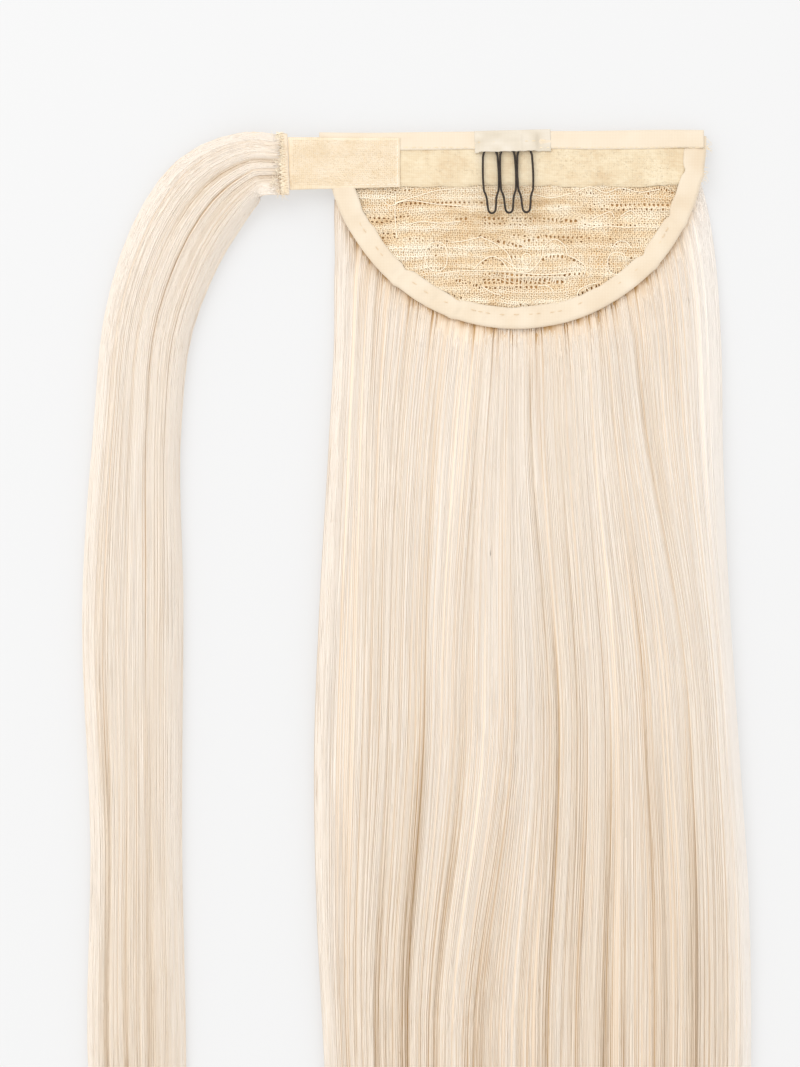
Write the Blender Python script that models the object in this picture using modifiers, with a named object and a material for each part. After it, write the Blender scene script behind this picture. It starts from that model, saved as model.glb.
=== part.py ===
"""Wrap-around ponytail hairpiece, lying on its hair with the lace side up.

A half-round lace base is bound with folded tape, carries a wire comb and a strip of loop tape, and has
rows of weft and a long fall of hair sewn to its underside. A strap of hook tape leaves its left corner,
and a wrapping strand of hair is sewn to the end of that strap.

Metres, +Z up. +Y runs from the hair tips to the straight edge of the base. The origin is on the surface
that the piece lies on, below the middle of its box.
"""

import math

import bpy
import numpy as np
from mathutils import Matrix

MM = 0.001
GAP = 0.3 * MM

# Lace base: a half ellipse below a straight top edge
BASE_HALF_WIDTH = 76.8 * MM
BASE_DEPTH = 79.4 * MM
BASE_TILT = math.radians(5)
BASE_HEIGHT = 4.7 * MM
CLOTH = 1.0 * MM
OUTLINE_STEPS = 44

# Folded tapes, whose slot takes the edge of the lace
TAPE_WIDTH = 8.4 * MM
TOP_TAPE_WIDTH = 7.6 * MM
TOP_TAPE_LEFT = -78.8 * MM
TOP_TAPE_RIGHT = 75.6 * MM
TAPE_END_ROOM = 1.3 * MM
FOLD_CHAMFER = 0.5 * MM
TAPE_TOP = 1.5 * CLOTH + GAP

# Loop tape sewn along the top of the lace
LOOP_LEFT = -44.4 * MM
LOOP_LOWER = 21.6 * MM

# Strap of hook tape, which lies over the left corner
STRAP_LEFT = -91.0 * MM
STRAP_RIGHT = -46.4 * MM
STRAP_UPPER = 2.4 * MM
STRAP_LOWER_LEFT = 23.6 * MM
STRAP_LOWER_RIGHT = 22.4 * MM

# Sewn head that joins the wrapping strand to the strap
WRAP_HEAD_SIZE = (6.7 * MM, 25.2 * MM, 3.6 * MM)
WRAP_HEAD_MIDDLE_DROP = 13.2 * MM
WRAP_HEAD_ROUND = 0.7 * MM

# Weft tracks, the sewn heads of the hair rows, between the lace and the hair
TRACK_DROPS = tuple(drop * MM for drop in (13, 21, 29, 37, 45, 53, 61))
TRACK_WIDTH = 2.8 * MM
TRACK_ROUND = 0.3 * MM
TRACK_END_ROOM = 1.5 * MM

# Wire comb: one wire bent into three teeth, turned a little in the plane of the base
COMB_PLACE = (-3.4 * MM, -7.4 * MM)
COMB_TURN = math.radians(1.5)
WIRE_DIAMETER = 0.9 * MM
TOOTH_COUNT = 3
TOOTH_PITCH = 6.9 * MM
TOOTH_BEND_RADIUS = 1.55 * MM
TURN_STEPS = 6
TOOTH_COLUMNS = ("drop", "half_width")
TOOTH_PROFILE = (
    (-2.6, 1.60),
    (0.0, 2.05),
    (2.2, 2.60),
    (4.4, 2.85),
    (16.4, 2.85),
    (18.2, 2.30),
    (19.6, 1.95),
    (24.2, 1.55),
)

# Patch of thin cloth sewn over the top of the comb
PATCH_LEFT = -13.0 * MM
PATCH_RIGHT = 17.6 * MM
PATCH_UPPER = 7.9 * MM
PATCH_LOWER = -1.0 * MM
PATCH_ROOM_LEFT = -10.8 * MM
PATCH_ROOM_RIGHT = 10.8 * MM
PATCH_ROOM_UPPER = 5.4 * MM
PATCH_SLOPE = 1.5 * MM

# Lace eyelets, in rows: drop of the row's two ends below the top edge, reach of the row, how far its
# middle bows up, number of holes and their size, all but the number in millimetres
EYELET_COLUMNS = ("drop_left", "drop_right", "left", "right", "bow", "count", "width", "height")
EYELET_ROWS = (
    (23.6, 23.0, 41.0, 50.0, 0.6, 4, 1.1, 1.0),
    (28.8, 28.8, 27.0, 61.0, 0.0, 13, 1.2, 1.2),
    (33.6, 33.6, -52.0, -16.0, 0.0, 13, 1.2, 1.2),
    (39.0, 39.0, -59.0, -47.5, 0.0, 6, 1.1, 1.3),
    (35.8, 35.8, -12.0, 27.0, 0.0, 17, 1.2, 1.4),
    (37.2, 37.2, 31.0, 57.0, 0.0, 8, 1.1, 1.1),
    (41.6, 46.2, -14.4, 3.2, 0.0, 9, 1.2, 1.6),
    (42.2, 42.2, 6.0, 28.0, 0.0, 9, 1.1, 1.2),
    (43.2, 43.2, 36.4, 46.4, 1.8, 5, 1.1, 1.1),
    (53.0, 53.0, -13.0, -4.4, 1.6, 4, 1.1, 1.1),
    (52.6, 52.6, 10.8, 25.0, 1.6, 6, 1.1, 1.1),
    (59.4, 59.4, -12.0, 27.0, 0.0, 16, 1.2, 2.2),
    (61.6, 63.4, -23.6, -15.4, 0.0, 4, 1.1, 1.1),
    (63.4, 68.6, -29.0, -13.0, 0.0, 7, 1.2, 1.2),
)
EYELET_CORNERS = 6

# Masses of hair. A section is a point of the middle line, the width there, the height of the underside
# above the surface, and the thickness, in millimetres from the middle of the base's top edge
SECTION_COLUMNS = ("x", "y", "width", "floor", "thickness")
FALL_SECTIONS = (
    (0.5, -1, 141, 0, 2.5),
    (1.0, -24, 148, 0, 4.5),
    (3.5, -48, 153, 0, 6.6),
    (5.0, -84, 156, 0, 9.8),
    (4.2, -130, 159, 0, 13.0),
    (3.7, -190, 165, 0, 13.6),
    (4.5, -250, 171, 0, 13.2),
    (7.0, -310, 174, 0, 12.4),
    (9.0, -370, 172, 0, 11.2),
    (9.0, -430, 167, 0, 9.6),
    (8.5, -500, 154, 0, 7.2),
    (8.0, -560, 136, 0, 4.0),
)
WRAP_SECTIONS = (
    (-98.6, -13.2, 24.5, 6.6, 3.6),
    (-105.0, -13.2, 27.0, 5.4, 5.0),
    (-112.6, -16.4, 32.0, 3.0, 7.0),
    (-123.6, -24.8, 37.5, 0.6, 8.6),
    (-132.2, -36.4, 38.5, 0, 8.8),
    (-140.6, -53.6, 38.0, 0, 8.6),
    (-147.4, -75.0, 36.2, 0, 8.4),
    (-152.0, -115.6, 35.2, 0, 8.2),
    (-154.0, -187.6, 40.6, 0, 8.0),
    (-152.6, -287.6, 36.8, 0, 7.6),
    (-152.4, -371.6, 39.6, 0, 6.8),
    (-150.8, -425.0, 36.0, 0, 5.6),
    (-150.4, -484.0, 27.0, 0, 3.4),
)

# Locks, from left to right: share of the width at three distances from the head, height of the lock's
# ridge against the usual one, and how far its tip ends short of the full length, in millimetres
LOCK_COLUMNS = ("head_share", "middle_share", "low_share", "crown", "short")
FALL_LOCKS = (
    (9.3, 11.0, 7.5, 0.8, 14),
    (8.3, 7.1, 4.8, 1.0, 5),
    (9.3, 7.7, 7.2, 1.1, 18),
    (10.3, 9.0, 6.1, 0.9, 0),
    (7.0, 10.3, 8.4, 1.2, 9),
    (5.9, 10.3, 15.2, 0.9, 3),
    (7.8, 6.2, 7.2, 1.1, 12),
    (6.4, 6.7, 7.5, 1.0, 2),
    (7.0, 9.0, 12.4, 0.9, 15),
    (7.3, 10.8, 10.3, 1.2, 6),
    (10.8, 6.2, 7.1, 0.9, 20),
    (10.6, 5.7, 6.3, 0.8, 10),
)
WRAP_LOCKS = (
    (20.0, 17.0, 18.0, 0.9, 12),
    (21.0, 24.0, 23.0, 1.1, 0),
    (18.0, 20.0, 21.0, 1.0, 8),
    (22.0, 19.0, 20.0, 1.1, 3),
    (19.0, 20.0, 18.0, 0.9, 16),
)
SHARE_PLACES = (84 * MM, 228 * MM, 372 * MM)
FALL_STATIONS = 20
WRAP_STATIONS = 23
STATION_CROWDING = 1.2
RIDGE = 2.0 * MM
UNDER_GROOVE = 1.2 * MM
GROOVE_SHARE = 0.3
HEADING_STEP = 0.5 * MM
EDGE_SHARE = 0.28
CROWN_POWER = 3.4
FLAT_SHARE = 0.6
NOTCH = 34 * MM
TIP_SPLIT = 0.76
GATHER_LENGTH = 26 * MM
# Ridge height at four places across a lock, from one valley towards the next
RIDGE_PROFILE = (0.0, 0.78, 1.0, 0.78)

# Materials: base colour, roughness and metallic value
MATERIALS = {
    "hair": ((0.88, 0.77, 0.62), 0.42, 0.0),
    "lace": ((0.84, 0.66, 0.45), 0.90, 0.0),
    "tape": ((0.95, 0.85, 0.68), 0.80, 0.0),
    "hook_tape": ((0.97, 0.81, 0.57), 0.85, 0.0),
    "loop_tape": ((0.93, 0.77, 0.54), 0.95, 0.0),
    "gauze": ((0.91, 0.84, 0.70), 0.75, 0.0),
    "weft_thread": ((0.90, 0.76, 0.56), 0.85, 0.0),
    "wire": ((0.15, 0.11, 0.08), 0.40, 0.9),
}


def clear_scene():
    for obj in list(bpy.data.objects):
        bpy.data.objects.remove(obj)


def new_collection(name, hidden=False):
    collection = bpy.data.collections.new(name)
    bpy.context.scene.collection.children.link(collection)
    collection.hide_render = hidden
    return collection


def make_materials():
    made = {}
    for name, (colour, roughness, metallic) in MATERIALS.items():
        material = bpy.data.materials.new(name)
        material.use_nodes = True
        shader = material.node_tree.nodes["Principled BSDF"]
        shader.inputs["Base Color"].default_value = (*colour, 1.0)
        shader.inputs["Roughness"].default_value = roughness
        shader.inputs["Metallic"].default_value = metallic
        made[name] = material
    return made


def add_object(data, material, parent, collection, height=0):
    """An object named as its mesh or curve, that far above its parent's plane."""
    obj = bpy.data.objects.new(data.name, data)
    collection.objects.link(obj)
    obj.parent = parent
    obj.location.z = height
    data.materials.append(material)
    return obj


def add_empty(name, place, turn, parent, collection):
    empty = bpy.data.objects.new(name, None)
    collection.objects.link(empty)
    empty.parent = parent
    empty.location = place
    empty.rotation_euler = turn
    return empty


def read(columns, rows):
    """The columns of a table by name, as arrays."""
    return {name: np.array(values, float) for name, values in zip(columns, zip(*rows))}


def smooth(at, knots, values):
    """A cubic curve through the knots, whose slope at each one comes from its neighbours."""
    slopes = np.gradient(values, knots)
    first = np.clip(np.searchsorted(knots, at) - 1, 0, len(knots) - 2)
    span = knots[first + 1] - knots[first]
    t = (at - knots[first]) / span
    rise = t * t * (3 - 2 * t)
    return (
        values[first] * (1 - rise)
        + values[first + 1] * rise
        + span * t * (1 - t) * ((1 - t) * slopes[first] - t * slopes[first + 1])
    )


def smooth_step(low, high, at):
    t = np.clip((at - low) / (high - low), 0, 1)
    return t * t * (3 - 2 * t)


def half_ellipse(inset, drop_from, steps=OUTLINE_STEPS):
    """Points along the base's curved edge, from right to left, moved in by the inset."""
    width, depth = BASE_HALF_WIDTH - inset, BASE_DEPTH - inset
    start = math.asin(drop_from / depth)
    angles = np.linspace(start, math.pi - start, steps)
    return [(width * math.cos(a), -depth * math.sin(a)) for a in angles]


def poly_spline(curve, points, cyclic=True):
    spline = curve.splines.new("POLY")
    spline.points.add(len(points) - 1)
    for target, point in zip(spline.points, points):
        target.co = (*point, *(0,) * (3 - len(point)), 1)
    spline.use_cyclic_u = cyclic
    return spline


def flat_sheet(name, outlines, thickness):
    """A flat piece of that thickness. The first outline is its edge, and the others are holes."""
    curve = bpy.data.curves.new(name, "CURVE")
    curve.dimensions = "2D"
    curve.fill_mode = "BOTH"
    curve.extrude = thickness / 2
    for outline in outlines:
        poly_spline(curve, outline)
    return curve


def swept(name, path, profile):
    """The closed profile object carried along a path, with its ends filled."""
    curve = bpy.data.curves.new(name, "CURVE")
    curve.dimensions = "2D"
    curve.bevel_mode = "OBJECT"
    curve.bevel_object = profile
    curve.use_fill_caps = True
    poly_spline(curve, path, cyclic=False)
    return curve


def fold_profile(name, width, collection):
    """Section of a tape folded over an edge: two leaves and a fold, round a slot for the lace."""
    outer = TAPE_TOP
    inner = outer - CLOTH
    points = (
        (0, FOLD_CHAMFER - outer),
        (0, outer - FOLD_CHAMFER),
        (FOLD_CHAMFER, outer),
        (width, outer),
        (width, inner),
        (CLOTH, inner),
        (CLOTH, -inner),
        (width, -inner),
        (width, -outer),
        (FOLD_CHAMFER, -outer),
    )
    curve = bpy.data.curves.new(name, "CURVE")
    curve.dimensions = "2D"
    curve.fill_mode = "NONE"
    poly_spline(curve, points)
    obj = bpy.data.objects.new(name, curve)
    collection.objects.link(obj)
    obj.hide_render = True
    obj.display_type = "WIRE"
    return obj


def add_box(name, size, middle, rounding, material, parent, collection):
    """A box with rounded edges, about its own middle."""
    bpy.ops.mesh.primitive_cube_add(size=1)
    obj = bpy.context.object
    obj.name = name
    for other in obj.users_collection:
        other.objects.unlink(obj)
    collection.objects.link(obj)
    obj.data.transform(Matrix.Diagonal((*size, 1)))
    obj.parent = parent
    obj.location = middle
    obj.data.materials.append(material)
    bevel = obj.modifiers.new("round", "BEVEL")
    bevel.width = rounding
    bevel.segments = 1
    return obj


def eyelets():
    """Outlines of the holes that are cut through the lace, row by row."""
    table = read(EYELET_COLUMNS, EYELET_ROWS)
    holes = []
    for row in range(len(EYELET_ROWS)):
        count = int(table["count"][row])
        along = np.linspace(0, 1, count)
        xs = table["left"][row] + along * (table["right"][row] - table["left"][row])
        drops = table["drop_left"][row] + along * (table["drop_right"][row] - table["drop_left"][row])
        drops = drops - table["bow"][row] * np.sin(math.pi * along)
        for x, drop in zip(xs, drops):
            corners = (np.arange(EYELET_CORNERS) + 0.5) * math.tau / EYELET_CORNERS
            across = x + table["width"][row] / 2 * np.cos(corners)
            down = -drop + table["height"][row] / 2 * np.sin(corners)
            holes.append([(a * MM, d * MM) for a, d in zip(across, down)])
    return holes


def tooth_side(side, middle):
    """Points down one side of a tooth, from the hidden top to the start of its bend."""
    table = read(TOOTH_COLUMNS, TOOTH_PROFILE)
    return [
        (middle + side * half * MM, -drop * MM)
        for drop, half in zip(table["drop"], table["half_width"])
    ]


def arc(middle, radius, start, end, steps=TURN_STEPS):
    """Points strictly between the two ends of an arc."""
    angles = np.linspace(start, end, steps + 2)[1:-1]
    return [(middle[0] + radius * math.cos(a), middle[1] + radius * math.sin(a)) for a in angles]


def comb_path():
    """One wire: down a tooth, round its bend and up again, then over to the next tooth."""
    points = []
    top = TOOTH_PROFILE[0]
    lowest = TOOTH_PROFILE[-1]
    turn_radius = TOOTH_PITCH / 2 - top[1] * MM
    for tooth in range(TOOTH_COUNT):
        middle = (tooth - (TOOTH_COUNT - 1) / 2) * TOOTH_PITCH
        points += tooth_side(-1, middle)
        points += arc((middle, -lowest[0] * MM), TOOTH_BEND_RADIUS, math.pi, math.tau)
        points += reversed(tooth_side(1, middle))
        if tooth < TOOTH_COUNT - 1:
            between = (middle + TOOTH_PITCH / 2, -top[0] * MM)
            points += arc(between, turn_radius, math.pi, 0)
    return points


def wire(name, points, diameter):
    curve = bpy.data.curves.new(name, "CURVE")
    curve.dimensions = "3D"
    curve.bevel_depth = diameter / 2
    curve.bevel_resolution = 2
    curve.use_fill_caps = True
    poly_spline(curve, points, cyclic=False)
    return curve


def patch_surface(name):
    """The middle surface of the patch: flat where it is sewn down, raised where the wire runs under it."""
    xs = np.array([
        PATCH_LEFT,
        PATCH_ROOM_LEFT - PATCH_SLOPE,
        PATCH_ROOM_LEFT,
        PATCH_ROOM_RIGHT,
        PATCH_ROOM_RIGHT + PATCH_SLOPE,
        PATCH_RIGHT,
    ])
    ys = np.array([PATCH_UPPER, PATCH_ROOM_UPPER + PATCH_SLOPE, PATCH_ROOM_UPPER, PATCH_LOWER])
    across, down = np.meshgrid(xs, ys)
    raised = ((across >= PATCH_ROOM_LEFT) & (across <= PATCH_ROOM_RIGHT) & (down <= PATCH_ROOM_UPPER))
    sewn = TAPE_TOP + GAP + CLOTH / 2
    points = np.stack([across, down, sewn + raised * (WIRE_DIAMETER + GAP)], -1)
    return grid_mesh(name, points)


def grid_mesh(name, points):
    """An open sheet of quads over a grid of points."""
    rows, columns = points.shape[:2]
    index = np.arange(rows * columns).reshape(rows, columns)
    quads = np.stack([index[:-1, :-1], index[1:, :-1], index[1:, 1:], index[:-1, 1:]], -1)
    mesh = bpy.data.meshes.new(name)
    mesh.from_pydata(points.reshape(-1, 3).tolist(), [], quads.reshape(-1, 4).tolist())
    return mesh


def base_edge_drop(x):
    """How far below the top edge the rim of the base lies at x, and nothing beyond its sides."""
    share = np.clip(1 - (x / BASE_HALF_WIDTH) ** 2, 0, 1)
    return BASE_DEPTH * np.sqrt(share)


def lock_mass(name, sections, locks, steps, gathered):
    """A mass of hair as one loft, whose ring is a row of ridges, one a lock, over a grooved underside.

    The locks part near the end, each tapering to a tip of its own length. Where gathered, the top stays
    flat below the base, and the ridges start at its rim.
    """
    path = {key: values * MM for key, values in read(SECTION_COLUMNS, sections).items()}
    lock = read(LOCK_COLUMNS, locks)
    along = np.concatenate([[0], np.cumsum(np.hypot(np.diff(path["x"]), np.diff(path["y"])))])
    total = along[-1]
    slices = len(RIDGE_PROFILE)
    within = np.arange(slices) / slices

    ridge = np.append(np.tile(RIDGE_PROFILE, len(locks)), 0.0)
    crown = np.append(np.repeat(lock["crown"], slices), lock["crown"][-1])
    from_middle = np.append(np.tile(abs(2 * within - 1), len(locks)), 1.0)
    short = np.append(np.repeat(lock["short"], slices), lock["short"][-1]) * MM
    tip = total - short - NOTCH * from_middle

    station = total * np.linspace(0, 1, steps) ** STATION_CROWDING
    split = TIP_SPLIT * total
    beyond = np.clip((station - split) / (total - split), 0, 1)[:, None]
    reach = np.minimum(station, split)[:, None] + beyond * (tip - split)[None, :]

    middle = smooth_step(*SHARE_PLACES[:2], station)[:, None]
    low = smooth_step(*SHARE_PLACES[1:], station)[:, None]
    head, half_way, end = (lock[key] / lock[key].sum() for key in LOCK_COLUMNS[:3])
    shares = head * (1 - middle) + half_way * (middle - low) + end * low
    edges = np.concatenate([np.zeros((steps, 1)), np.cumsum(shares, 1)], 1)
    across = (edges[:, :-1, None] + shares[:, :, None] * within).reshape(steps, -1)
    across = np.concatenate([across, np.ones((steps, 1))], 1)

    line = [smooth(reach, along, path[key]) for key in ("x", "y")]
    width, thickness = (smooth(reach, along, path[key]) for key in ("width", "thickness"))
    floor = np.maximum(smooth(reach, along, path["floor"]), 0)
    ahead = [smooth(np.minimum(reach + HEADING_STEP, total), along, path[key]) for key in ("x", "y")]
    back = [smooth(np.maximum(reach - HEADING_STEP, 0), along, path[key]) for key in ("x", "y")]
    heading = np.stack([ahead[0] - back[0], ahead[1] - back[1]])
    heading /= np.linalg.norm(heading, axis=0)

    sideways = (across - 0.5) * width
    x = line[0] - heading[1] * sideways
    y = line[1] + heading[0] * sideways

    from_centre = abs(2 * across - 1)
    bulge = np.sqrt(np.clip(1 - from_centre**CROWN_POWER, 0, 1))
    edge = EDGE_SHARE * thickness
    clear_of_base = -y - base_edge_drop(x)
    ramp = smooth_step(0, GATHER_LENGTH, clear_of_base if gathered else reach)
    valley = RIDGE * crown * (1 - ridge) * bulge * ramp
    top = floor + edge + (thickness - edge) * bulge - valley
    groove = np.minimum(UNDER_GROOVE, GROOVE_SHARE * thickness) * (ridge == 0) * bulge
    curl = np.clip((from_centre - FLAT_SHARE) / (1 - FLAT_SHARE), 0, 1) ** 3
    under = floor + edge * curl + groove
    return ring_mesh(name, np.stack([x, y, top], -1), np.stack([x, y, under], -1))


def ring_mesh(name, top, under):
    """A closed mesh between two grids that share their first and last columns, with both ends capped."""
    steps, columns = top.shape[:2]
    rings = np.concatenate([top, under[:, -2:0:-1]], 1)
    size = rings.shape[1]
    index = np.arange(steps * size).reshape(steps, size)
    nearer, further = index[:-1], index[1:]
    sides = np.stack([nearer, further, np.roll(further, -1, 1), np.roll(nearer, -1, 1)], -1)
    faces = sides.reshape(-1, 4).tolist()
    for ring, outward in ((index[0], 1), (index[-1], -1)):
        below = np.concatenate([ring[:1], ring[:columns - 1:-1], ring[columns - 1:columns]])
        for j in range(columns - 1):
            cap = [ring[j], ring[j + 1], below[j + 1], below[j]]
            cap = [int(corner) for corner in dict.fromkeys(cap)]
            faces.append(cap[::outward])
    mesh = bpy.data.meshes.new(name)
    mesh.from_pydata(rings.reshape(-1, 3).tolist(), [], faces)
    mesh.shade_smooth()
    return mesh


def build():
    clear_scene()
    parts = new_collection("ponytail_hairpiece")
    helpers = new_collection("profiles", hidden=True)
    finish = make_materials()

    root = add_empty("hairpiece", (0, 0, 0), (0, 0, 0), None, parts)
    base = add_empty("base_plane", (0, 0, BASE_HEIGHT), (-BASE_TILT, 0, 0), root, parts)
    comb = add_empty("comb_place", (*COMB_PLACE, 0), (0, 0, COMB_TURN), base, parts)

    # Lace, with its edge inside the folds of the tapes
    inset = CLOTH + GAP
    outline = half_ellipse(inset, inset)
    lace = flat_sheet("lace_base", [outline, *eyelets()], CLOTH)
    add_object(lace, finish["lace"], base, parts)

    # Tapes folded over the straight and the curved edge
    top_profile = fold_profile("top_fold", TOP_TAPE_WIDTH, helpers)
    rim_profile = fold_profile("rim_fold", TAPE_WIDTH, helpers)
    top_path = [(TOP_TAPE_LEFT, 0), (TOP_TAPE_RIGHT, 0)]
    rim_path = half_ellipse(0, TOP_TAPE_WIDTH + TAPE_END_ROOM)
    add_object(swept("top_binding", top_path, top_profile), finish["tape"], base, parts)
    add_object(swept("curved_binding", rim_path, rim_profile), finish["tape"], base, parts)

    # Loop tape below the top binding, cut to the curve at its right end
    loop_upper = TOP_TAPE_WIDTH + GAP
    loop_right = [
        BASE_HALF_WIDTH * math.sqrt(1 - (drop / BASE_DEPTH) ** 2) - TAPE_WIDTH - 2 * GAP
        for drop in (loop_upper, LOOP_LOWER)
    ]
    loop_outline = [
        (LOOP_LEFT, -loop_upper),
        (LOOP_LEFT, -LOOP_LOWER),
        (loop_right[1], -LOOP_LOWER),
        (loop_right[0], -loop_upper),
    ]
    loop = flat_sheet("loop_strip", [loop_outline], CLOTH)
    add_object(loop, finish["loop_tape"], base, parts, CLOTH + GAP)

    # Strap over the left corner
    strap_outline = [
        (STRAP_LEFT, -STRAP_UPPER),
        (STRAP_LEFT, -STRAP_LOWER_LEFT),
        (STRAP_RIGHT, -STRAP_LOWER_RIGHT),
        (STRAP_RIGHT, -STRAP_UPPER),
    ]
    strap_height = TAPE_TOP + GAP + CLOTH / 2
    strap = flat_sheet("hook_strap", [strap_outline], CLOTH)
    add_object(strap, finish["hook_tape"], base, parts, strap_height)

    # Sewn head at the end of the strap
    head_middle = (STRAP_LEFT - GAP - WRAP_HEAD_SIZE[0] / 2, -WRAP_HEAD_MIDDLE_DROP, strap_height)
    add_box("wrap_head", WRAP_HEAD_SIZE, head_middle, WRAP_HEAD_ROUND, finish["weft_thread"], base, parts)

    # Weft tracks below the lace, each as long as the lace is wide there
    for number, drop in enumerate(TRACK_DROPS, 1):
        narrowing = math.sqrt(1 - ((drop + TRACK_WIDTH / 2) / BASE_DEPTH) ** 2)
        half = BASE_HALF_WIDTH * narrowing - TAPE_WIDTH / narrowing
        size = (2 * (half - TRACK_END_ROOM), TRACK_WIDTH, CLOTH)
        place = (0, -drop, -(CLOTH + GAP))
        add_box(f"weft_track_{number}", size, place, TRACK_ROUND, finish["weft_thread"], base, parts)

    # Comb and the patch over its top
    teeth = wire("wire_comb", comb_path(), WIRE_DIAMETER)
    add_object(teeth, finish["wire"], comb, parts, TAPE_TOP + GAP + WIRE_DIAMETER / 2)
    patch = add_object(patch_surface("comb_patch"), finish["gauze"], comb, parts)
    wall = patch.modifiers.new("wall", "SOLIDIFY")
    wall.thickness = CLOTH
    wall.offset = 0
    wall.use_even_offset = True

    # Hair
    fall = lock_mass("hair_fall", FALL_SECTIONS, FALL_LOCKS, FALL_STATIONS, True)
    add_object(fall, finish["hair"], root, parts)
    strand = lock_mass("wrap_strand", WRAP_SECTIONS, WRAP_LOCKS, WRAP_STATIONS, False)
    add_object(strand, finish["hair"], root, parts)

    centre_on_footprint(root, parts)


def centre_on_footprint(root, parts):
    """Moves the root so that the middle of the box of all the parts is above the origin."""
    bpy.context.view_layer.update()
    graph = bpy.context.evaluated_depsgraph_get()
    corners = []
    for obj in parts.objects:
        if obj.type == "EMPTY":
            continue
        mesh = obj.evaluated_get(graph).to_mesh()
        points = np.empty(len(mesh.vertices) * 3, np.float32)
        mesh.vertices.foreach_get("co", points)
        world = np.array(obj.matrix_world)
        corners.append(points.reshape(-1, 3) @ world[:3, :3].T + world[:3, 3])
        obj.evaluated_get(graph).to_mesh_clear()
    corners = np.concatenate(corners)
    low, high = corners.min(0), corners.max(0)
    root.location = (-(low[0] + high[0]) / 2, -(low[1] + high[1]) / 2, -low[2])


build()
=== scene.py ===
"""Looks of a wrap-around ponytail hairpiece, which lies on its hair with the lace side up.

The frame is in metres, +Z up. Tables and shapes here are in millimetres from the middle of the base's
straight edge, with x to the right and y away from the hair, so that most places have a negative y.
"""

import math

import bpy
import numpy as np
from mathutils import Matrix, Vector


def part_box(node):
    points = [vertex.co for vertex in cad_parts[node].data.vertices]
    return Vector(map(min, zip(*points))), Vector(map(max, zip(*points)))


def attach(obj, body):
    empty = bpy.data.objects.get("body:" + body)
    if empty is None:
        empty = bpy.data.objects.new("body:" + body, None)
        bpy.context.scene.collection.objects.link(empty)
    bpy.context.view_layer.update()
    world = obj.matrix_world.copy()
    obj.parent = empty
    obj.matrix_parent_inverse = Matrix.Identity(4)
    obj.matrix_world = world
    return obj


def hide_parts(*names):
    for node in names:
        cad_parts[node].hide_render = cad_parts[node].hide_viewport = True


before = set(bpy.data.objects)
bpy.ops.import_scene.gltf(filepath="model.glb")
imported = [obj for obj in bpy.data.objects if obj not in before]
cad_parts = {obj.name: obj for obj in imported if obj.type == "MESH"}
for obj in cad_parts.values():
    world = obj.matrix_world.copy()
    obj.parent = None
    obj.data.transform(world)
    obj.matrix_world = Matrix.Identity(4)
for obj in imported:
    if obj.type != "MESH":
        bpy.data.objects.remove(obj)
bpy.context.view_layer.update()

MM = 0.001

# Where the base lies: its plane is tilted, and starts this far above the floor at the straight edge
BASE_TILT = math.radians(5)
BASE_HEIGHT = 4.7
BASE_HALF_WIDTH = 76.8
BASE_DEPTH = 79.4
# The lace is set in from the edges of the base, and its plate lies half above the plane and half below
LACE_INSET = 1.3
LACE_THICKNESS = 1.0
LACE_LOW, LACE_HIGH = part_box("lace_base")
MIDDLE_X = (LACE_LOW.x + LACE_HIGH.x) / 2
EDGE_Y = (
    LACE_HIGH.y
    + LACE_INSET * MM * math.cos(BASE_TILT)
    - LACE_THICKNESS / 2 * MM * math.sin(BASE_TILT)
)
# How high the upper sides of the tapes lie above that plane, and how thick their cloth is
RIM_TAPE_TOP = 1.32
EDGE_TAPE_TOP = 1.75
LOOP_TAPE_TOP = 1.1
TAPE_CLOTH = 0.4

# The photo's frame: its middle, how tall it is at the height of the hair, and the lens
VIEW_MIDDLE = (-46.4, -161.0)
VIEW_HEIGHT = 426.8
VIEW_PLANE = 10.0
LENS = 85.0
SENSOR = 36.0

# Masses of hair. A section is a point of the middle line, the width there, the height of the underside
# above the floor, and the thickness
SECTION_COLUMNS = ("x", "y", "width", "floor", "thickness")
FALL_SECTIONS = (
    (0.5, -1, 141, 0, 2.5),
    (1.0, -24, 148, 0, 4.5),
    (3.5, -48, 153, 0, 6.6),
    (5.0, -84, 156, 0, 9.8),
    (4.2, -130, 159, 0, 13.0),
    (3.7, -190, 165, 0, 13.6),
    (4.5, -250, 171, 0, 13.2),
    (7.0, -310, 174, 0, 12.4),
    (9.0, -370, 172, 0, 11.2),
    (9.0, -430, 167, 0, 9.6),
    (8.5, -500, 154, 0, 7.2),
    (8.0, -560, 136, 0, 4.0),
)
WRAP_SECTIONS = (
    (-98.6, -13.2, 24.5, 6.6, 3.6),
    (-105.0, -13.2, 27.0, 5.4, 5.0),
    (-112.6, -16.4, 32.0, 3.0, 7.0),
    (-123.6, -24.8, 37.5, 0.6, 8.6),
    (-132.2, -36.4, 38.5, 0, 8.8),
    (-140.6, -53.6, 38.0, 0, 8.6),
    (-147.4, -75.0, 36.2, 0, 8.4),
    (-152.0, -115.6, 35.2, 0, 8.2),
    (-154.0, -187.6, 40.6, 0, 8.0),
    (-152.6, -287.6, 36.8, 0, 7.6),
    (-152.4, -371.6, 39.6, 0, 6.8),
    (-150.8, -425.0, 36.0, 0, 5.6),
    (-150.4, -484.0, 27.0, 0, 3.4),
)

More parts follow.
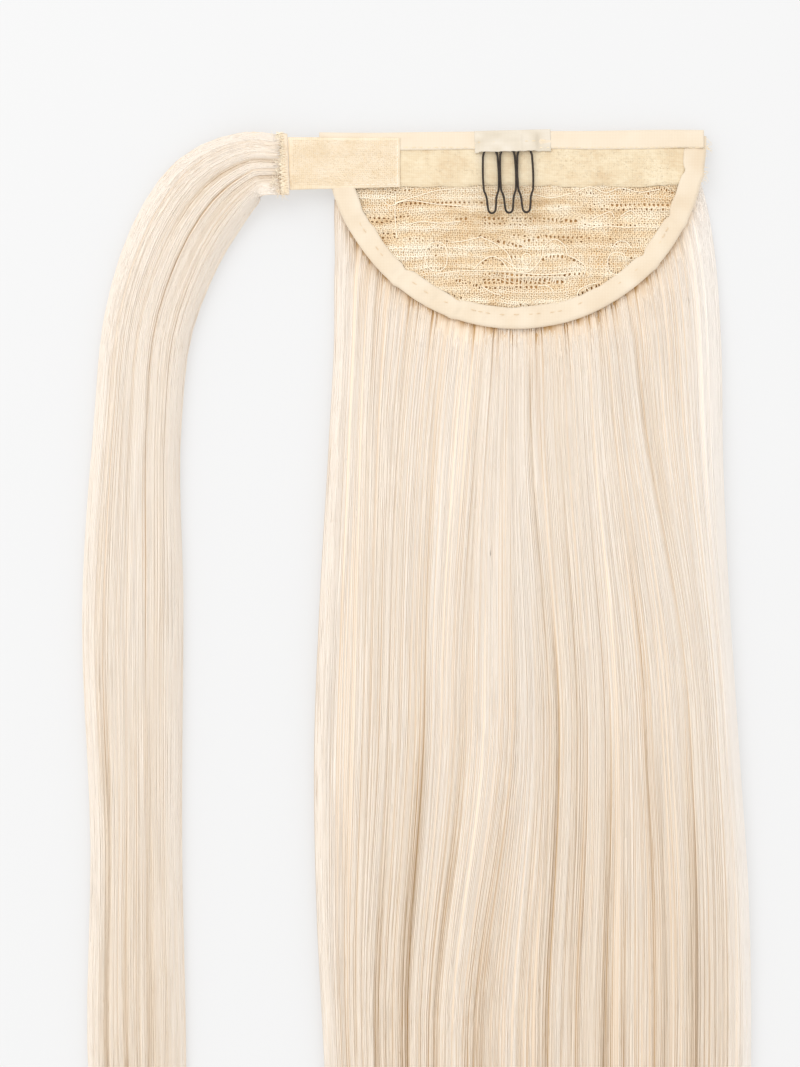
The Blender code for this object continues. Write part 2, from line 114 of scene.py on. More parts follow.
# Locks, from left to right: share of the width at three distances from the head, height of the lock's
# ridge against the usual one, and how far its tip ends short of the full length
LOCK_COLUMNS = ("head_share", "middle_share", "low_share", "crown", "short")
FALL_LOCKS = (
    (9.3, 11.0, 7.5, 0.8, 14),
    (8.3, 7.1, 4.8, 1.0, 5),
    (9.3, 7.7, 7.2, 1.1, 18),
    (10.3, 9.0, 6.1, 0.9, 0),
    (7.0, 10.3, 8.4, 1.2, 9),
    (5.9, 10.3, 15.2, 0.9, 3),
    (7.8, 6.2, 7.2, 1.1, 12),
    (6.4, 6.7, 7.5, 1.0, 2),
    (7.0, 9.0, 12.4, 0.9, 15),
    (7.3, 10.8, 10.3, 1.2, 6),
    (10.8, 6.2, 7.1, 0.9, 20),
    (10.6, 5.7, 6.3, 0.8, 10),
)
WRAP_LOCKS = (
    (20.0, 17.0, 18.0, 0.9, 12),
    (21.0, 24.0, 23.0, 1.1, 0),
    (18.0, 20.0, 21.0, 1.0, 8),
    (22.0, 19.0, 20.0, 1.1, 3),
    (19.0, 20.0, 18.0, 0.9, 16),
)
# Deeper furrows: place across, half width and depth, and where along the hair each one starts, is deepest
# and has gone
FALL_FURROWS = (
    (0.245, 2.2, 1.3, 190, 290, 900),
    (0.520, 1.6, 1.0, 150, 240, 900),
    (0.680, 1.6, 0.9, 200, 300, 900),
    (0.830, 1.8, 1.0, 190, 290, 900),
    (0.335, 1.2, 0.7, 210, 300, 900),
    (0.175, 1.4, 0.7, 230, 320, 900),
    (0.917, 1.4, 0.8, 230, 320, 900),
    (0.600, 1.1, 0.6, 220, 300, 900),
    (0.445, 1.2, 0.6, 230, 330, 900),
    (0.770, 1.1, 0.6, 220, 300, 900),
    (0.852, 2.6, 0.6, 80, 125, 260),
)
WRAP_FURROWS = (
    (0.44, 1.5, 1.2, -12, 2, 75),
    (0.70, 1.2, 0.8, -12, 4, 80),
    (0.15, 1.1, 0.6, -12, 4, 60),
    (0.50, 1.0, 0.7, 200, 260, 900),
    (0.25, 0.9, 0.6, 220, 280, 900),
)
# How far along the hair the locks have their three shares
SHARE_PLACES = (84, 228, 372)
# A mass across: height of its edges as a share of the thickness, the power that its crown rises by, and
# how much of its underside lies flat
EDGE_SHARE = 0.28
CROWN_POWER = 3.4
FLAT_SHARE = 0.6
# How deep the notches between the locks' tips are, and the share of the length where tips begin
NOTCH = 34
TIP_SPLIT = 0.76
# How high the head of the wrapping strand lies above the plane of the base
HEAD_SILL = 3.8
# How far beyond the rim the gathered hair has come loose
GATHER_LENGTH = 26
# How far in from its right edge the fall is paler, because the light comes through it
PALE_EDGE = 16
# How much higher than the mass its loose strands ride
STRAND_LIFT = (0.0, 0.3)

# Eyelets of the lace, in rows: the row's two ends, by their x and their drop below the straight edge,
# how far its middle bows up, number of holes and their size
EYELET_COLUMNS = ("left", "drop_left", "right", "drop_right", "bow", "count", "width", "height")
EYELET_ROWS = (
    # Left of the comb
    (-49.8, 24.2, -42.6, 23.6, 0.6, 5, 0.7, 0.7),
    (-47.2, 28.6, -13.6, 28.4, 0.0, 20, 0.95, 0.85),
    (-27.6, 30.0, -22.8, 30.0, 0.0, 4, 0.8, 0.7),
    (-60.4, 34.8, -48.8, 34.8, 0.0, 7, 1.0, 1.0),
    (-59.6, 36.4, -47.6, 36.0, 0.0, 7, 0.9, 0.8),
    (-47.6, 34.2, -43.2, 33.6, 0.0, 4, 0.9, 1.0),
    (-23.6, 35.0, -20.0, 35.0, 0.0, 3, 0.9, 0.8),
    (-57.6, 41.2, -48.8, 41.2, 0.0, 5, 0.9, 0.8),
    (-55.6, 42.8, -48.4, 42.6, 0.0, 4, 0.9, 0.7),
    (-47.2, 43.0, -27.6, 44.0, 0.0, 9, 0.6, 0.6),
    (-52.4, 47.6, -45.0, 54.4, 0.0, 7, 0.9, 0.9),
    (-34.8, 47.2, -28.8, 47.4, 1.4, 6, 0.7, 0.8),
    (-32.0, 50.2, -32.0, 50.2, 0.0, 1, 0.8, 0.8),
    (-34.6, 55.2, -29.0, 55.4, -0.6, 6, 0.7, 0.8),
    (-23.6, 59.8, -14.4, 62.6, 0.0, 8, 1.0, 1.1),
    (-30.0, 65.0, -22.0, 67.4, 0.0, 7, 1.1, 1.1),
    (-28.0, 67.0, -23.0, 68.4, 0.0, 4, 0.9, 0.9),
    # Below the comb
    (-12.4, 35.0, 24.0, 35.8, 0.0, 21, 1.1, 1.3),
    (-12.4, 37.0, 4.0, 37.2, 0.0, 9, 0.8, 0.7),
    (14.8, 30.6, 18.4, 30.6, 0.4, 4, 0.8, 0.8),
    (-14.4, 41.9, -7.0, 44.2, 0.0, 5, 0.9, 0.9),
    (-6.4, 44.4, 2.0, 46.2, 0.0, 6, 1.15, 1.7),
    (-0.8, 41.9, 5.6, 42.0, 0.0, 4, 0.9, 0.7),
    (-13.2, 53.2, -5.2, 53.4, 2.6, 7, 0.95, 1.0),
    (-1.8, 50.8, 1.2, 50.8, 0.0, 3, 0.9, 1.0),
    (3.6, 44.4, 9.0, 42.4, 0.0, 4, 1.0, 1.0),
    (10.6, 42.0, 26.0, 42.6, 0.0, 10, 0.95, 1.0),
    (19.0, 44.0, 26.0, 44.4, 0.0, 5, 0.8, 0.8),
    (12.8, 46.4, 16.0, 46.4, 0.4, 3, 0.8, 0.9),
    (10.8, 51.4, 26.4, 53.8, 2.2, 11, 1.0, 1.2),
    (-12.6, 57.6, 19.0, 58.2, 0.0, 18, 1.0, 1.1),
    (-12.6, 60.4, 18.6, 60.4, 0.0, 18, 1.15, 2.0),
    (-12.0, 63.0, 8.0, 62.8, 0.0, 11, 0.95, 0.9),
    (19.6, 58.0, 27.2, 57.6, 0.0, 5, 0.9, 1.0),
    (1.6, 70.0, 7.6, 71.0, 0.0, 5, 1.2, 1.0),
    # Right of the comb
    (26.0, 25.4, 31.6, 24.6, 0.6, 5, 0.9, 0.9),
    (43.4, 22.8, 49.0, 24.4, 0.3, 6, 0.95, 0.9),
    (53.2, 24.6, 63.2, 24.4, 1.8, 9, 1.0, 1.0),
    (27.8, 29.6, 60.8, 29.6, 0.0, 19, 1.0, 0.9),
    (30.0, 31.2, 59.0, 31.2, 0.0, 14, 0.7, 0.7),
    (26.4, 34.6, 30.0, 35.4, 0.0, 4, 0.8, 0.8),
    (28.0, 37.6, 58.4, 37.6, 0.0, 18, 0.75, 0.7),
    (29.2, 43.0, 54.8, 43.8, 0.0, 10, 0.7, 0.7),
    (39.2, 45.6, 46.0, 45.4, 1.2, 7, 1.0, 1.0),
    (37.0, 50.2, 37.0, 55.0, 0.0, 4, 0.8, 0.8),
    (38.6, 56.6, 44.2, 56.2, -0.8, 6, 1.0, 1.0),
    (46.2, 51.0, 44.8, 55.2, 0.0, 4, 0.8, 0.8),
    (24.4, 66.8, 33.2, 62.0, 0.4, 10, 1.0, 1.1),
)

# Cord that outlines the lace's motifs: points of each smooth line
MOTIF_LINES = (
    ((-48.1, -24.0), (-48.4, -33.0), (-47.6, -43.0)),
    ((-48.4, -28.6), (-40.0, -26.0), (-31.0, -23.4), (-24.0, -22.8)),
    ((-53.8, -27.0), (-50.6, -29.8), (-46.4, -28.2), (-30.0, -29.2), (-12.0, -30.2), (-3.0, -29.0)),
    ((-26.0, -44.6), (-22.1, -44.2), (-14.6, -42.6)),
    ((-14.4, -42.2), (-7.2, -45.8), (-3.4, -49.0), (-0.8, -55.4)),
    ((-16.8, -55.4), (-13.6, -52.2), (-9.3, -50.4), (-6.1, -51.7), (-2.9, -56.0)),
    ((-31.8, -57.6), (-26.0, -56.6), (-15.0, -56.2), (0.0, -56.8), (8.0, -57.8), (20.0, -57.4)),
    ((10.4, -50.6), (11.6, -46.0), (15.5, -43.3), (19.2, -45.6), (20.6, -49.6)),
    ((13.2, -47.2), (14.6, -45.2), (16.6, -47.6)),
    ((-6.4, -50.6), (-2.0, -53.6), (0.4, -56.0), (4.8, -56.6), (8.8, -53.2), (10.4, -50.4)),
    ((20.4, -49.8), (25.0, -52.0), (27.8, -54.8), (26.8, -58.8)),
    ((38.4, -47.0), (41.2, -44.2), (44.0, -44.4), (46.4, -47.2)),
    ((29.6, -35.8), (34.0, -33.6), (38.4, -32.4), (39.6, -34.6)),
    ((41.9, -34.0), (46.4, -31.8), (48.6, -33.6), (53.0, -34.8), (58.2, -35.2)),
    ((24.2, -67.2), (25.0, -64.4), (28.4, -62.2), (32.8, -61.0)),
    ((15.0, -66.2), (14.4, -63.8), (12.2, -62.2), (8.8, -62.2)),
    ((-14.0, -62.2), (-10.4, -64.6), (-6.0, -66.2)),
    ((30.4, -38.8), (36.0, -38.0), (44.0, -38.6), (52.0, -38.2)),
    ((-44.0, -37.6), (-38.0, -36.2), (-30.0, -36.8), (-22.0, -36.0)),
    ((-10.0, -24.6), (-2.0, -26.4), (6.0, -25.0), (14.0, -26.6), (22.0, -24.8)),
    ((24.0, -24.2), (30.0, -22.0), (36.0, -24.4), (42.0, -22.6), (50.0, -24.2), (58.0, -23.0)),
)
# Closed motifs: middle, half width and half height of a rounded ring
MOTIF_RINGS = (
    (-31.8, -50.4, 4.3, 5.9),
    (40.4, -53.2, 3.7, 4.5),
    (4.2, -51.4, 1.7, 2.2),
)
# Dense cloth of the lace, as soft ellipses: middle, half width, half height and how dense
DENSE_AREAS = (
    (34.0, -35.6, 6.0, 2.6, 1.0),
    (50.0, -36.0, 8.0, 2.2, 1.0),
    (15.5, -49.0, 4.0, 4.2, 0.7),
    (2.0, -54.0, 7.0, 3.4, 0.7),
    (-9.0, -54.6, 4.6, 2.4, 0.6),
    (-40.0, -47.0, 9.0, 5.0, 0.4),
    (24.0, -55.6, 3.4, 3.0, 0.7),
    (42.0, -60.0, 8.0, 3.0, 0.5),
    (-20.0, -50.0, 8.0, 4.0, 0.5),
    (18.0, -32.0, 7.0, 3.0, 0.4),
)
# Half a thread's width, left free round each eyelet, and how many of its radii off threads still bend
THREAD_ROOM = 0.22
EYELET_REACH = 1.7
# Drops at which the rows of weft press ridges into the lace
RIDGE_DROPS = (26.0, 30.8, 38.4, 46.6, 50.2, 55.0, 57.8, 64.4, 68.6)


def on_base(x, y, height):
    """World places of points over the plane of the base: turned by its tilt, then moved to its edge."""
    x, y, height = np.broadcast_arrays(x, y, height)
    cos, sin = math.cos(BASE_TILT), math.sin(BASE_TILT)
    world_y = EDGE_Y + (y * cos + height * sin) * MM
    world_z = (BASE_HEIGHT - y * sin + height * cos) * MM
    return np.stack([MIDDLE_X + x * MM, world_y, world_z], -1)


def on_floor(x, y, height):
    """World places of points by their height above the floor."""
    x, y, height = np.broadcast_arrays(x, y, height)
    return np.stack([MIDDLE_X + x * MM, EDGE_Y + y * MM, height * MM], -1)


def read(columns, rows):
    """The columns of a table by name, as arrays."""
    return {name: np.array(values, float) for name, values in zip(columns, zip(*rows))}


def smooth(at, knots, values):
    """A cubic curve through the knots, whose slope at each one comes from its neighbours."""
    slopes = np.gradient(values, knots)
    first = np.clip(np.searchsorted(knots, at) - 1, 0, len(knots) - 2)
    span = knots[first + 1] - knots[first]
    t = (at - knots[first]) / span
    rise = t * t * (3 - 2 * t)
    return (
        values[first] * (1 - rise)
        + values[first + 1] * rise
        + span * t * (1 - t) * ((1 - t) * slopes[first] - t * slopes[first + 1])
    )


def smooth_step(low, high, at):
    """0 below low and 1 above high, with an S-shaped rise between them."""
    t = np.clip((at - low) / (high - low), 0, 1)
    return t * t * (3 - 2 * t)


def grain(u, v, seed, size=512):
    """Noise from -1 to 1: a random value at each whole number of u and v, blended smoothly between."""
    table = np.random.default_rng(seed).uniform(-1, 1, (size, size))
    i, j = np.floor(u).astype(int), np.floor(v).astype(int)
    a, b = u - i, v - j
    a, b = a * a * (3 - 2 * a), b * b * (3 - 2 * b)
    near = table[i % size, j % size] * (1 - a) + table[(i + 1) % size, j % size] * a
    far = table[i % size, (j + 1) % size] * (1 - a) + table[(i + 1) % size, (j + 1) % size] * a
    return near * (1 - b) + far * b


def smooth_line(points, steps):
    """Evenly spaced points on one smooth curve through the given ones."""
    points = np.array(points, float)
    along = np.concatenate([[0], np.cumsum(np.linalg.norm(np.diff(points, axis=0), axis=1))])
    at = np.linspace(0, along[-1], steps)
    return np.stack([smooth(at, along, points[:, axis]) for axis in range(points.shape[1])], -1)


def base_edge_drop(x):
    """How far below the straight edge the rim of the base lies at x: 0 beyond its sides."""
    return BASE_DEPTH * np.sqrt(np.clip(1 - (x / BASE_HALF_WIDTH) ** 2, 0, 1))


# Meshes


def piece(name, points, faces, finish, slot, tone, flow=None, replaces=()):
    """A mesh object of the part. Faces are arrays, one for each number of corners. tone is a value at
    each point, or one for all, and flow a point's place across and along the fibres. The material
    reads both."""
    mesh = bpy.data.meshes.new(name)
    points = points.reshape(-1, 3)
    corners = np.concatenate([group.ravel() for group in faces]).astype(np.int32)
    sizes = np.concatenate([np.full(len(group), group.shape[1]) for group in faces])
    mesh.vertices.add(len(points))
    mesh.vertices.foreach_set("co", points.astype(np.float32).ravel())
    mesh.loops.add(len(corners))
    mesh.loops.foreach_set("vertex_index", corners)
    mesh.polygons.add(len(sizes))
    starts = np.concatenate([[0], np.cumsum(sizes)[:-1]]).astype(np.int32)
    mesh.polygons.foreach_set("loop_start", starts)
    mesh.update(calc_edges=True)
    mesh.shade_smooth()
    tones = np.broadcast_to(np.asarray(tone, np.float32).ravel(), len(points))
    mesh.attributes.new("tone", "FLOAT", "POINT").data.foreach_set("value", np.ascontiguousarray(tones))
    if flow is not None:
        layer = mesh.uv_layers.new(name="flow")
        layer.data.foreach_set("uv", flow.reshape(-1, 2)[corners].astype(np.float32).ravel())
    mesh.materials.append(finish)
    obj = bpy.data.objects.new(name, mesh)
    bpy.context.scene.collection.objects.link(obj)
    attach(obj, "root")
    if replaces:
        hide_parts(*replaces)
    return obj


def ring_quads(index):
    """Quads between neighbouring rings, from the numbers of their points, one ring in each row."""
    near, far = index[..., :-1, :], index[..., 1:, :]
    return np.stack([near, far, np.roll(far, -1, -1), np.roll(near, -1, -1)], -1).reshape(-1, 4)


def ring_faces(rings, size):
    """Quads between neighbouring rings of that many points, and one face over each end."""
    index = np.arange(rings * size).reshape(rings, size)
    return ring_quads(index), np.stack([index[0], index[-1, ::-1]])


def slab(top, under):
    """A closed shape between two grids of points, one above the other, as rings across the rows.

    Rings run over the top and back along the underside. Ends are closed by a strip of quads.
    """
    rows, columns = top.shape[:2]
    points = np.concatenate([top, under[:, ::-1]], 1)
    index = np.arange(rows * 2 * columns).reshape(rows, 2 * columns)
    upper, lower = index[:, :columns], index[:, :columns - 1:-1]
    start = np.stack([upper[0, :-1], upper[0, 1:], lower[0, 1:], lower[0, :-1]], -1)
    end = np.stack([upper[-1, 1:], upper[-1, :-1], lower[-1, :-1], lower[-1, 1:]], -1)
    return points, [np.concatenate([ring_quads(index), start, end])]


def both_sides(values):
    """Values at the top of a slab, and the same ones again on its underside."""
    return np.concatenate([values, values[:, ::-1]], 1)


def mantle(top, under):
    """A closed shape between two grids that share their first and last columns, so that the edges are
    sharp. The lower grid has fewer columns, each opposite an even number of the upper one's."""
    columns, fewer = top.shape[1], under.shape[1]
    points = np.concatenate([top, under[:, -2:0:-1]], 1)
    rows, size = points.shape[:2]
    index = np.arange(rows * size).reshape(rows, size)
    upper = index[:, :columns]
    lower = np.concatenate([index[:, :1], index[:, :columns - 1:-1], index[:, columns - 1:columns]], 1)
    every = (columns - 1) // (fewer - 1)
    opposite = np.arange(columns - 1) // every
    ends = []
    for row, order in ((0, 1), (-1, -1)):
        fans = np.stack([upper[row, :-1], upper[row, 1:], lower[row, opposite]], -1)[1:]
        gaps = np.stack([upper[row, every::every], lower[row, 1:], lower[row, :-1]], -1)[:-1]
        ends += [fans[:, ::order], gaps[:, ::order]]
    return points, [ring_quads(index), np.concatenate(ends)]


def tubes(paths, radii, sides=3, flatness=1.0):
    """Closed tubes along (count, points) paths. About each point lies a ring in the plane of the path's
    side and upward directions, of that radius, times the flatness upwards."""
    count, steps = paths.shape[:2]
    heading = np.gradient(paths, axis=1)
    heading /= np.linalg.norm(heading, axis=2, keepdims=True) + 1e-12
    side = np.cross(heading, (0.0, 0.0, 1.0))
    side /= np.linalg.norm(side, axis=2, keepdims=True) + 1e-12
    upward = np.cross(side, heading)
    turn = (np.arange(sides) + 0.25) * math.tau / sides
    ring = side[:, :, None] * np.cos(turn)[:, None]
    ring = ring + upward[:, :, None] * np.sin(turn)[:, None] * flatness
    radii = np.broadcast_to(radii, (count, steps))
    points = paths[:, :, None] + radii[:, :, None, None] * ring
    index = np.arange(count * steps * sides).reshape(count, steps, sides)
    return points, [ring_quads(index), np.concatenate([index[:, 0], index[:, -1, ::-1]])]


def gathered(parts):
    """Several (points, faces, tone) shapes as one, with the faces of each size together."""
    points, sizes, tones, first = [], {}, [], 0
    for shape, faces, tone in parts:
        shape = shape.reshape(-1, 3)
        for group in faces:
            sizes.setdefault(group.shape[1], []).append(group + first)
        points.append(shape)
        tones.append(np.broadcast_to(np.asarray(tone, float).ravel(), len(shape)))
        first += len(shape)
    faces = [np.concatenate(found) for found in sizes.values()]
    return np.concatenate(points), faces, np.concatenate(tones)


# Materials


def colour(code):
    """Linear colour of an sRGB hex code."""
    parts = [int(code[i:i + 2], 16) / 255 for i in (1, 3, 5)]
    return (*(c / 12.92 if c <= 0.04045 else ((c + 0.055) / 1.055) ** 2.4 for c in parts), 1.0)


def add(tree, kind, inputs=None, **settings):
    """Adds a node with its settings. An input is a value, or the output that is linked to it."""
    made = tree.nodes.new(kind)
    for key, value in settings.items():
        setattr(made, key, value)
    for socket, value in (inputs or {}).items():
        if isinstance(value, bpy.types.NodeSocket):
            tree.links.new(value, made.inputs[socket])
        else:
            made.inputs[socket].default_value = value
    return made


def new_finish(name, **shader_values):
    """An empty material with its shader's plain values set."""
    finish = bpy.data.materials.new(name)
    finish.use_nodes = True
    shader = finish.node_tree.nodes["Principled BSDF"]
    for socket, value in shader_values.items():
        shader.inputs[socket.replace("_", " ")].default_value = value
    return finish, finish.node_tree, shader


def three_tones(tree, level, low, middle, high):
    """A colour that runs from low at level 0 over middle at 0.5 to high at 1."""
    first = add(tree, "ShaderNodeMapRange", {"Value": level, "From Max": 0.5})
    lower = add(tree, "ShaderNodeMix", {0: first.outputs[0], 6: colour(low), 7: colour(middle)},
                data_type="RGBA")
    second = add(tree, "ShaderNodeMapRange", {"Value": level, "From Min": 0.5})
    upper = add(tree, "ShaderNodeMix", {0: second.outputs[0], 6: lower.outputs[2], 7: colour(high)},
                data_type="RGBA")
    return upper.outputs[2]


def hair_finish(name, tints):
    """Synthetic hair fibre, extruded and drawn: smooth, a little glossy, each fibre with its own tone.
    Fibres are 0.08 mm thick, too fine to show, so a streak is drawn as wide as a few of them."""
    finish, tree, shader = new_finish(name, Roughness=0.5, Specular_IOR_Level=0.2)
    tone = add(tree, "ShaderNodeAttribute", attribute_name="tone")
    flow = add(tree, "ShaderNodeUVMap", uv_map="flow")
    fibres = add(tree, "ShaderNodeMapping", {"Vector": flow.outputs[0], "Scale": (1 / 0.5, 1 / 350, 1)})
    streak = add(tree, "ShaderNodeTexNoise", {"Vector": fibres.outputs[0], "Scale": 1.0, "Detail": 2.0},
                 noise_dimensions="2D")
    shift = add(tree, "ShaderNodeMath", {0: streak.outputs[0], 1: 0.22, 2: -0.11}, operation="MULTIPLY_ADD")
    level = add(tree, "ShaderNodeMath", {0: tone.outputs["Fac"], 1: shift.outputs[0]}, operation="ADD")
    # Thin dark lines of painted shade, as of narrow gaps in the hair, where a coarser noise crosses its
    # middle value, each stronger or fainter on its way
    lines = add(tree, "ShaderNodeMapping", {"Vector": flow.outputs[0], "Scale": (1 / 2.3, 1 / 420, 1)})
    wave = add(tree, "ShaderNodeTexNoise", {"Vector": lines.outputs[0], "Scale": 1.0, "Detail": 1.0},
               noise_dimensions="2D")
    offset = add(tree, "ShaderNodeMath", {0: wave.outputs[0], 1: -0.5}, operation="ADD")
    size = add(tree, "ShaderNodeMath", {0: offset.outputs[0]}, operation="ABSOLUTE")
    line = add(tree, "ShaderNodeMapRange",
               {"Value": size.outputs[0], "From Max": 0.035, "To Min": 1.0, "To Max": 0.0})
    strength = add(tree, "ShaderNodeMath", {0: streak.outputs[0], 1: line.outputs[0]}, operation="MULTIPLY")
    darker = add(tree, "ShaderNodeMath", {0: strength.outputs[0], 1: -0.28, 2: level.outputs[0]},
                 operation="MULTIPLY_ADD")
    tint = three_tones(tree, darker.outputs[0], *tints)
    tree.links.new(tint, shader.inputs["Base Color"])
    bump = add(tree, "ShaderNodeBump", {"Strength": 0.28, "Distance": 0.0001, "Height": streak.outputs[0]})
    tree.links.new(bump.outputs[0], shader.inputs["Normal"])
    return finish


def woven_finish(name, tints, thread, relief, roughness=0.85, sheen=0.2):
    """Cloth of fine threads: a plain weave of that thread spacing and relief in millimetres, over a
    soft blotch. A band of the wave texture is as wide as the spacing where its scale is 0.31 over it."""
    finish, tree, shader = new_finish(name, Roughness=roughness, Sheen_Weight=sheen)
    place = add(tree, "ShaderNodeTexCoord")
    tone = add(tree, "ShaderNodeAttribute", attribute_name="tone")
    blotch = add(tree, "ShaderNodeTexNoise",
                 {"Vector": place.outputs["Object"], "Scale": 90.0, "Detail": 3.0})
    bands = {"Vector": place.outputs["Object"], "Scale": 0.31 / (thread * MM)}
    across, along = (
        add(tree, "ShaderNodeTexWave", bands, bands_direction=direction, wave_profile="SIN")
        for direction in "XY"
    )
    weave = add(tree, "ShaderNodeMath", {0: across.outputs["Fac"], 1: along.outputs["Fac"]},
                operation="MULTIPLY")
    mottle = add(tree, "ShaderNodeMath", {0: blotch.outputs[0], 1: 0.3, 2: -0.15}, operation="MULTIPLY_ADD")
    # Painted light and shade on the weave: its raised crossings lighter, the gaps between them darker
    lit = add(tree, "ShaderNodeMath", {0: weave.outputs[0], 1: 0.22, 2: -0.08}, operation="MULTIPLY_ADD")
    level = add(tree, "ShaderNodeMath", {0: tone.outputs["Fac"], 1: mottle.outputs[0]}, operation="ADD")
    level = add(tree, "ShaderNodeMath", {0: level.outputs[0], 1: lit.outputs[0]}, operation="ADD")
    tree.links.new(three_tones(tree, level.outputs[0], *tints), shader.inputs["Base Color"])
    bump = add(tree, "ShaderNodeBump", {"Strength": 0.6, "Distance": relief * MM, "Height": weave.outputs[0]})
    tree.links.new(bump.outputs[0], shader.inputs["Normal"])
    return finish


def thread_finish(name, tints):
    """Spun polyester thread: matt, with a little unevenness along it."""
    finish, tree, shader = new_finish(name, Roughness=0.8, Sheen_Weight=0.15)
    place = add(tree, "ShaderNodeTexCoord")
    tone = add(tree, "ShaderNodeAttribute", attribute_name="tone")
    uneven = add(tree, "ShaderNodeTexNoise",
                 {"Vector": place.outputs["Object"], "Scale": 700.0, "Detail": 2.0})
    shift = add(tree, "ShaderNodeMath", {0: uneven.outputs[0], 1: 0.5, 2: -0.25}, operation="MULTIPLY_ADD")
    level = add(tree, "ShaderNodeMath", {0: tone.outputs["Fac"], 1: shift.outputs[0]}, operation="ADD")
    tree.links.new(three_tones(tree, level.outputs[0], *tints), shader.inputs["Base Color"])
    bump = add(tree, "ShaderNodeBump", {"Strength": 0.5, "Distance": 0.0001, "Height": uneven.outputs[0]})
    tree.links.new(bump.outputs[0], shader.inputs["Normal"])
    return finish


def wire_finish():
    """Spring steel wire under dark brown enamel: smooth and half matt, worn a little lighter in places."""
    finish, tree, shader = new_finish("enamelled_wire", Roughness=0.45, Specular_IOR_Level=0.3)
    place = add(tree, "ShaderNodeTexCoord")
    wear = add(tree, "ShaderNodeTexNoise",
               {"Vector": place.outputs["Object"], "Scale": 900.0, "Detail": 3.0})
    tint = three_tones(tree, wear.outputs[0], "#1d1611", "#2f251d", "#4a3d32")
    tree.links.new(tint, shader.inputs["Base Color"])
    bump = add(tree, "ShaderNodeBump", {"Strength": 0.3, "Distance": 0.00005, "Height": wear.outputs[0]})
    tree.links.new(bump.outputs[0], shader.inputs["Normal"])
    return finish


def floor_finish():
    """Opal glass of a light table: pale and matt, lit a little from below, so that shadows stay faint."""
    finish, tree, shader = new_finish("opal_glass", Roughness=0.95, Emission_Strength=0.46)
    shader.inputs["Base Color"].default_value = colour("#a2a2a2")
    shader.inputs["Emission Color"].default_value = colour("#ffffff")
    return finish


# Hair


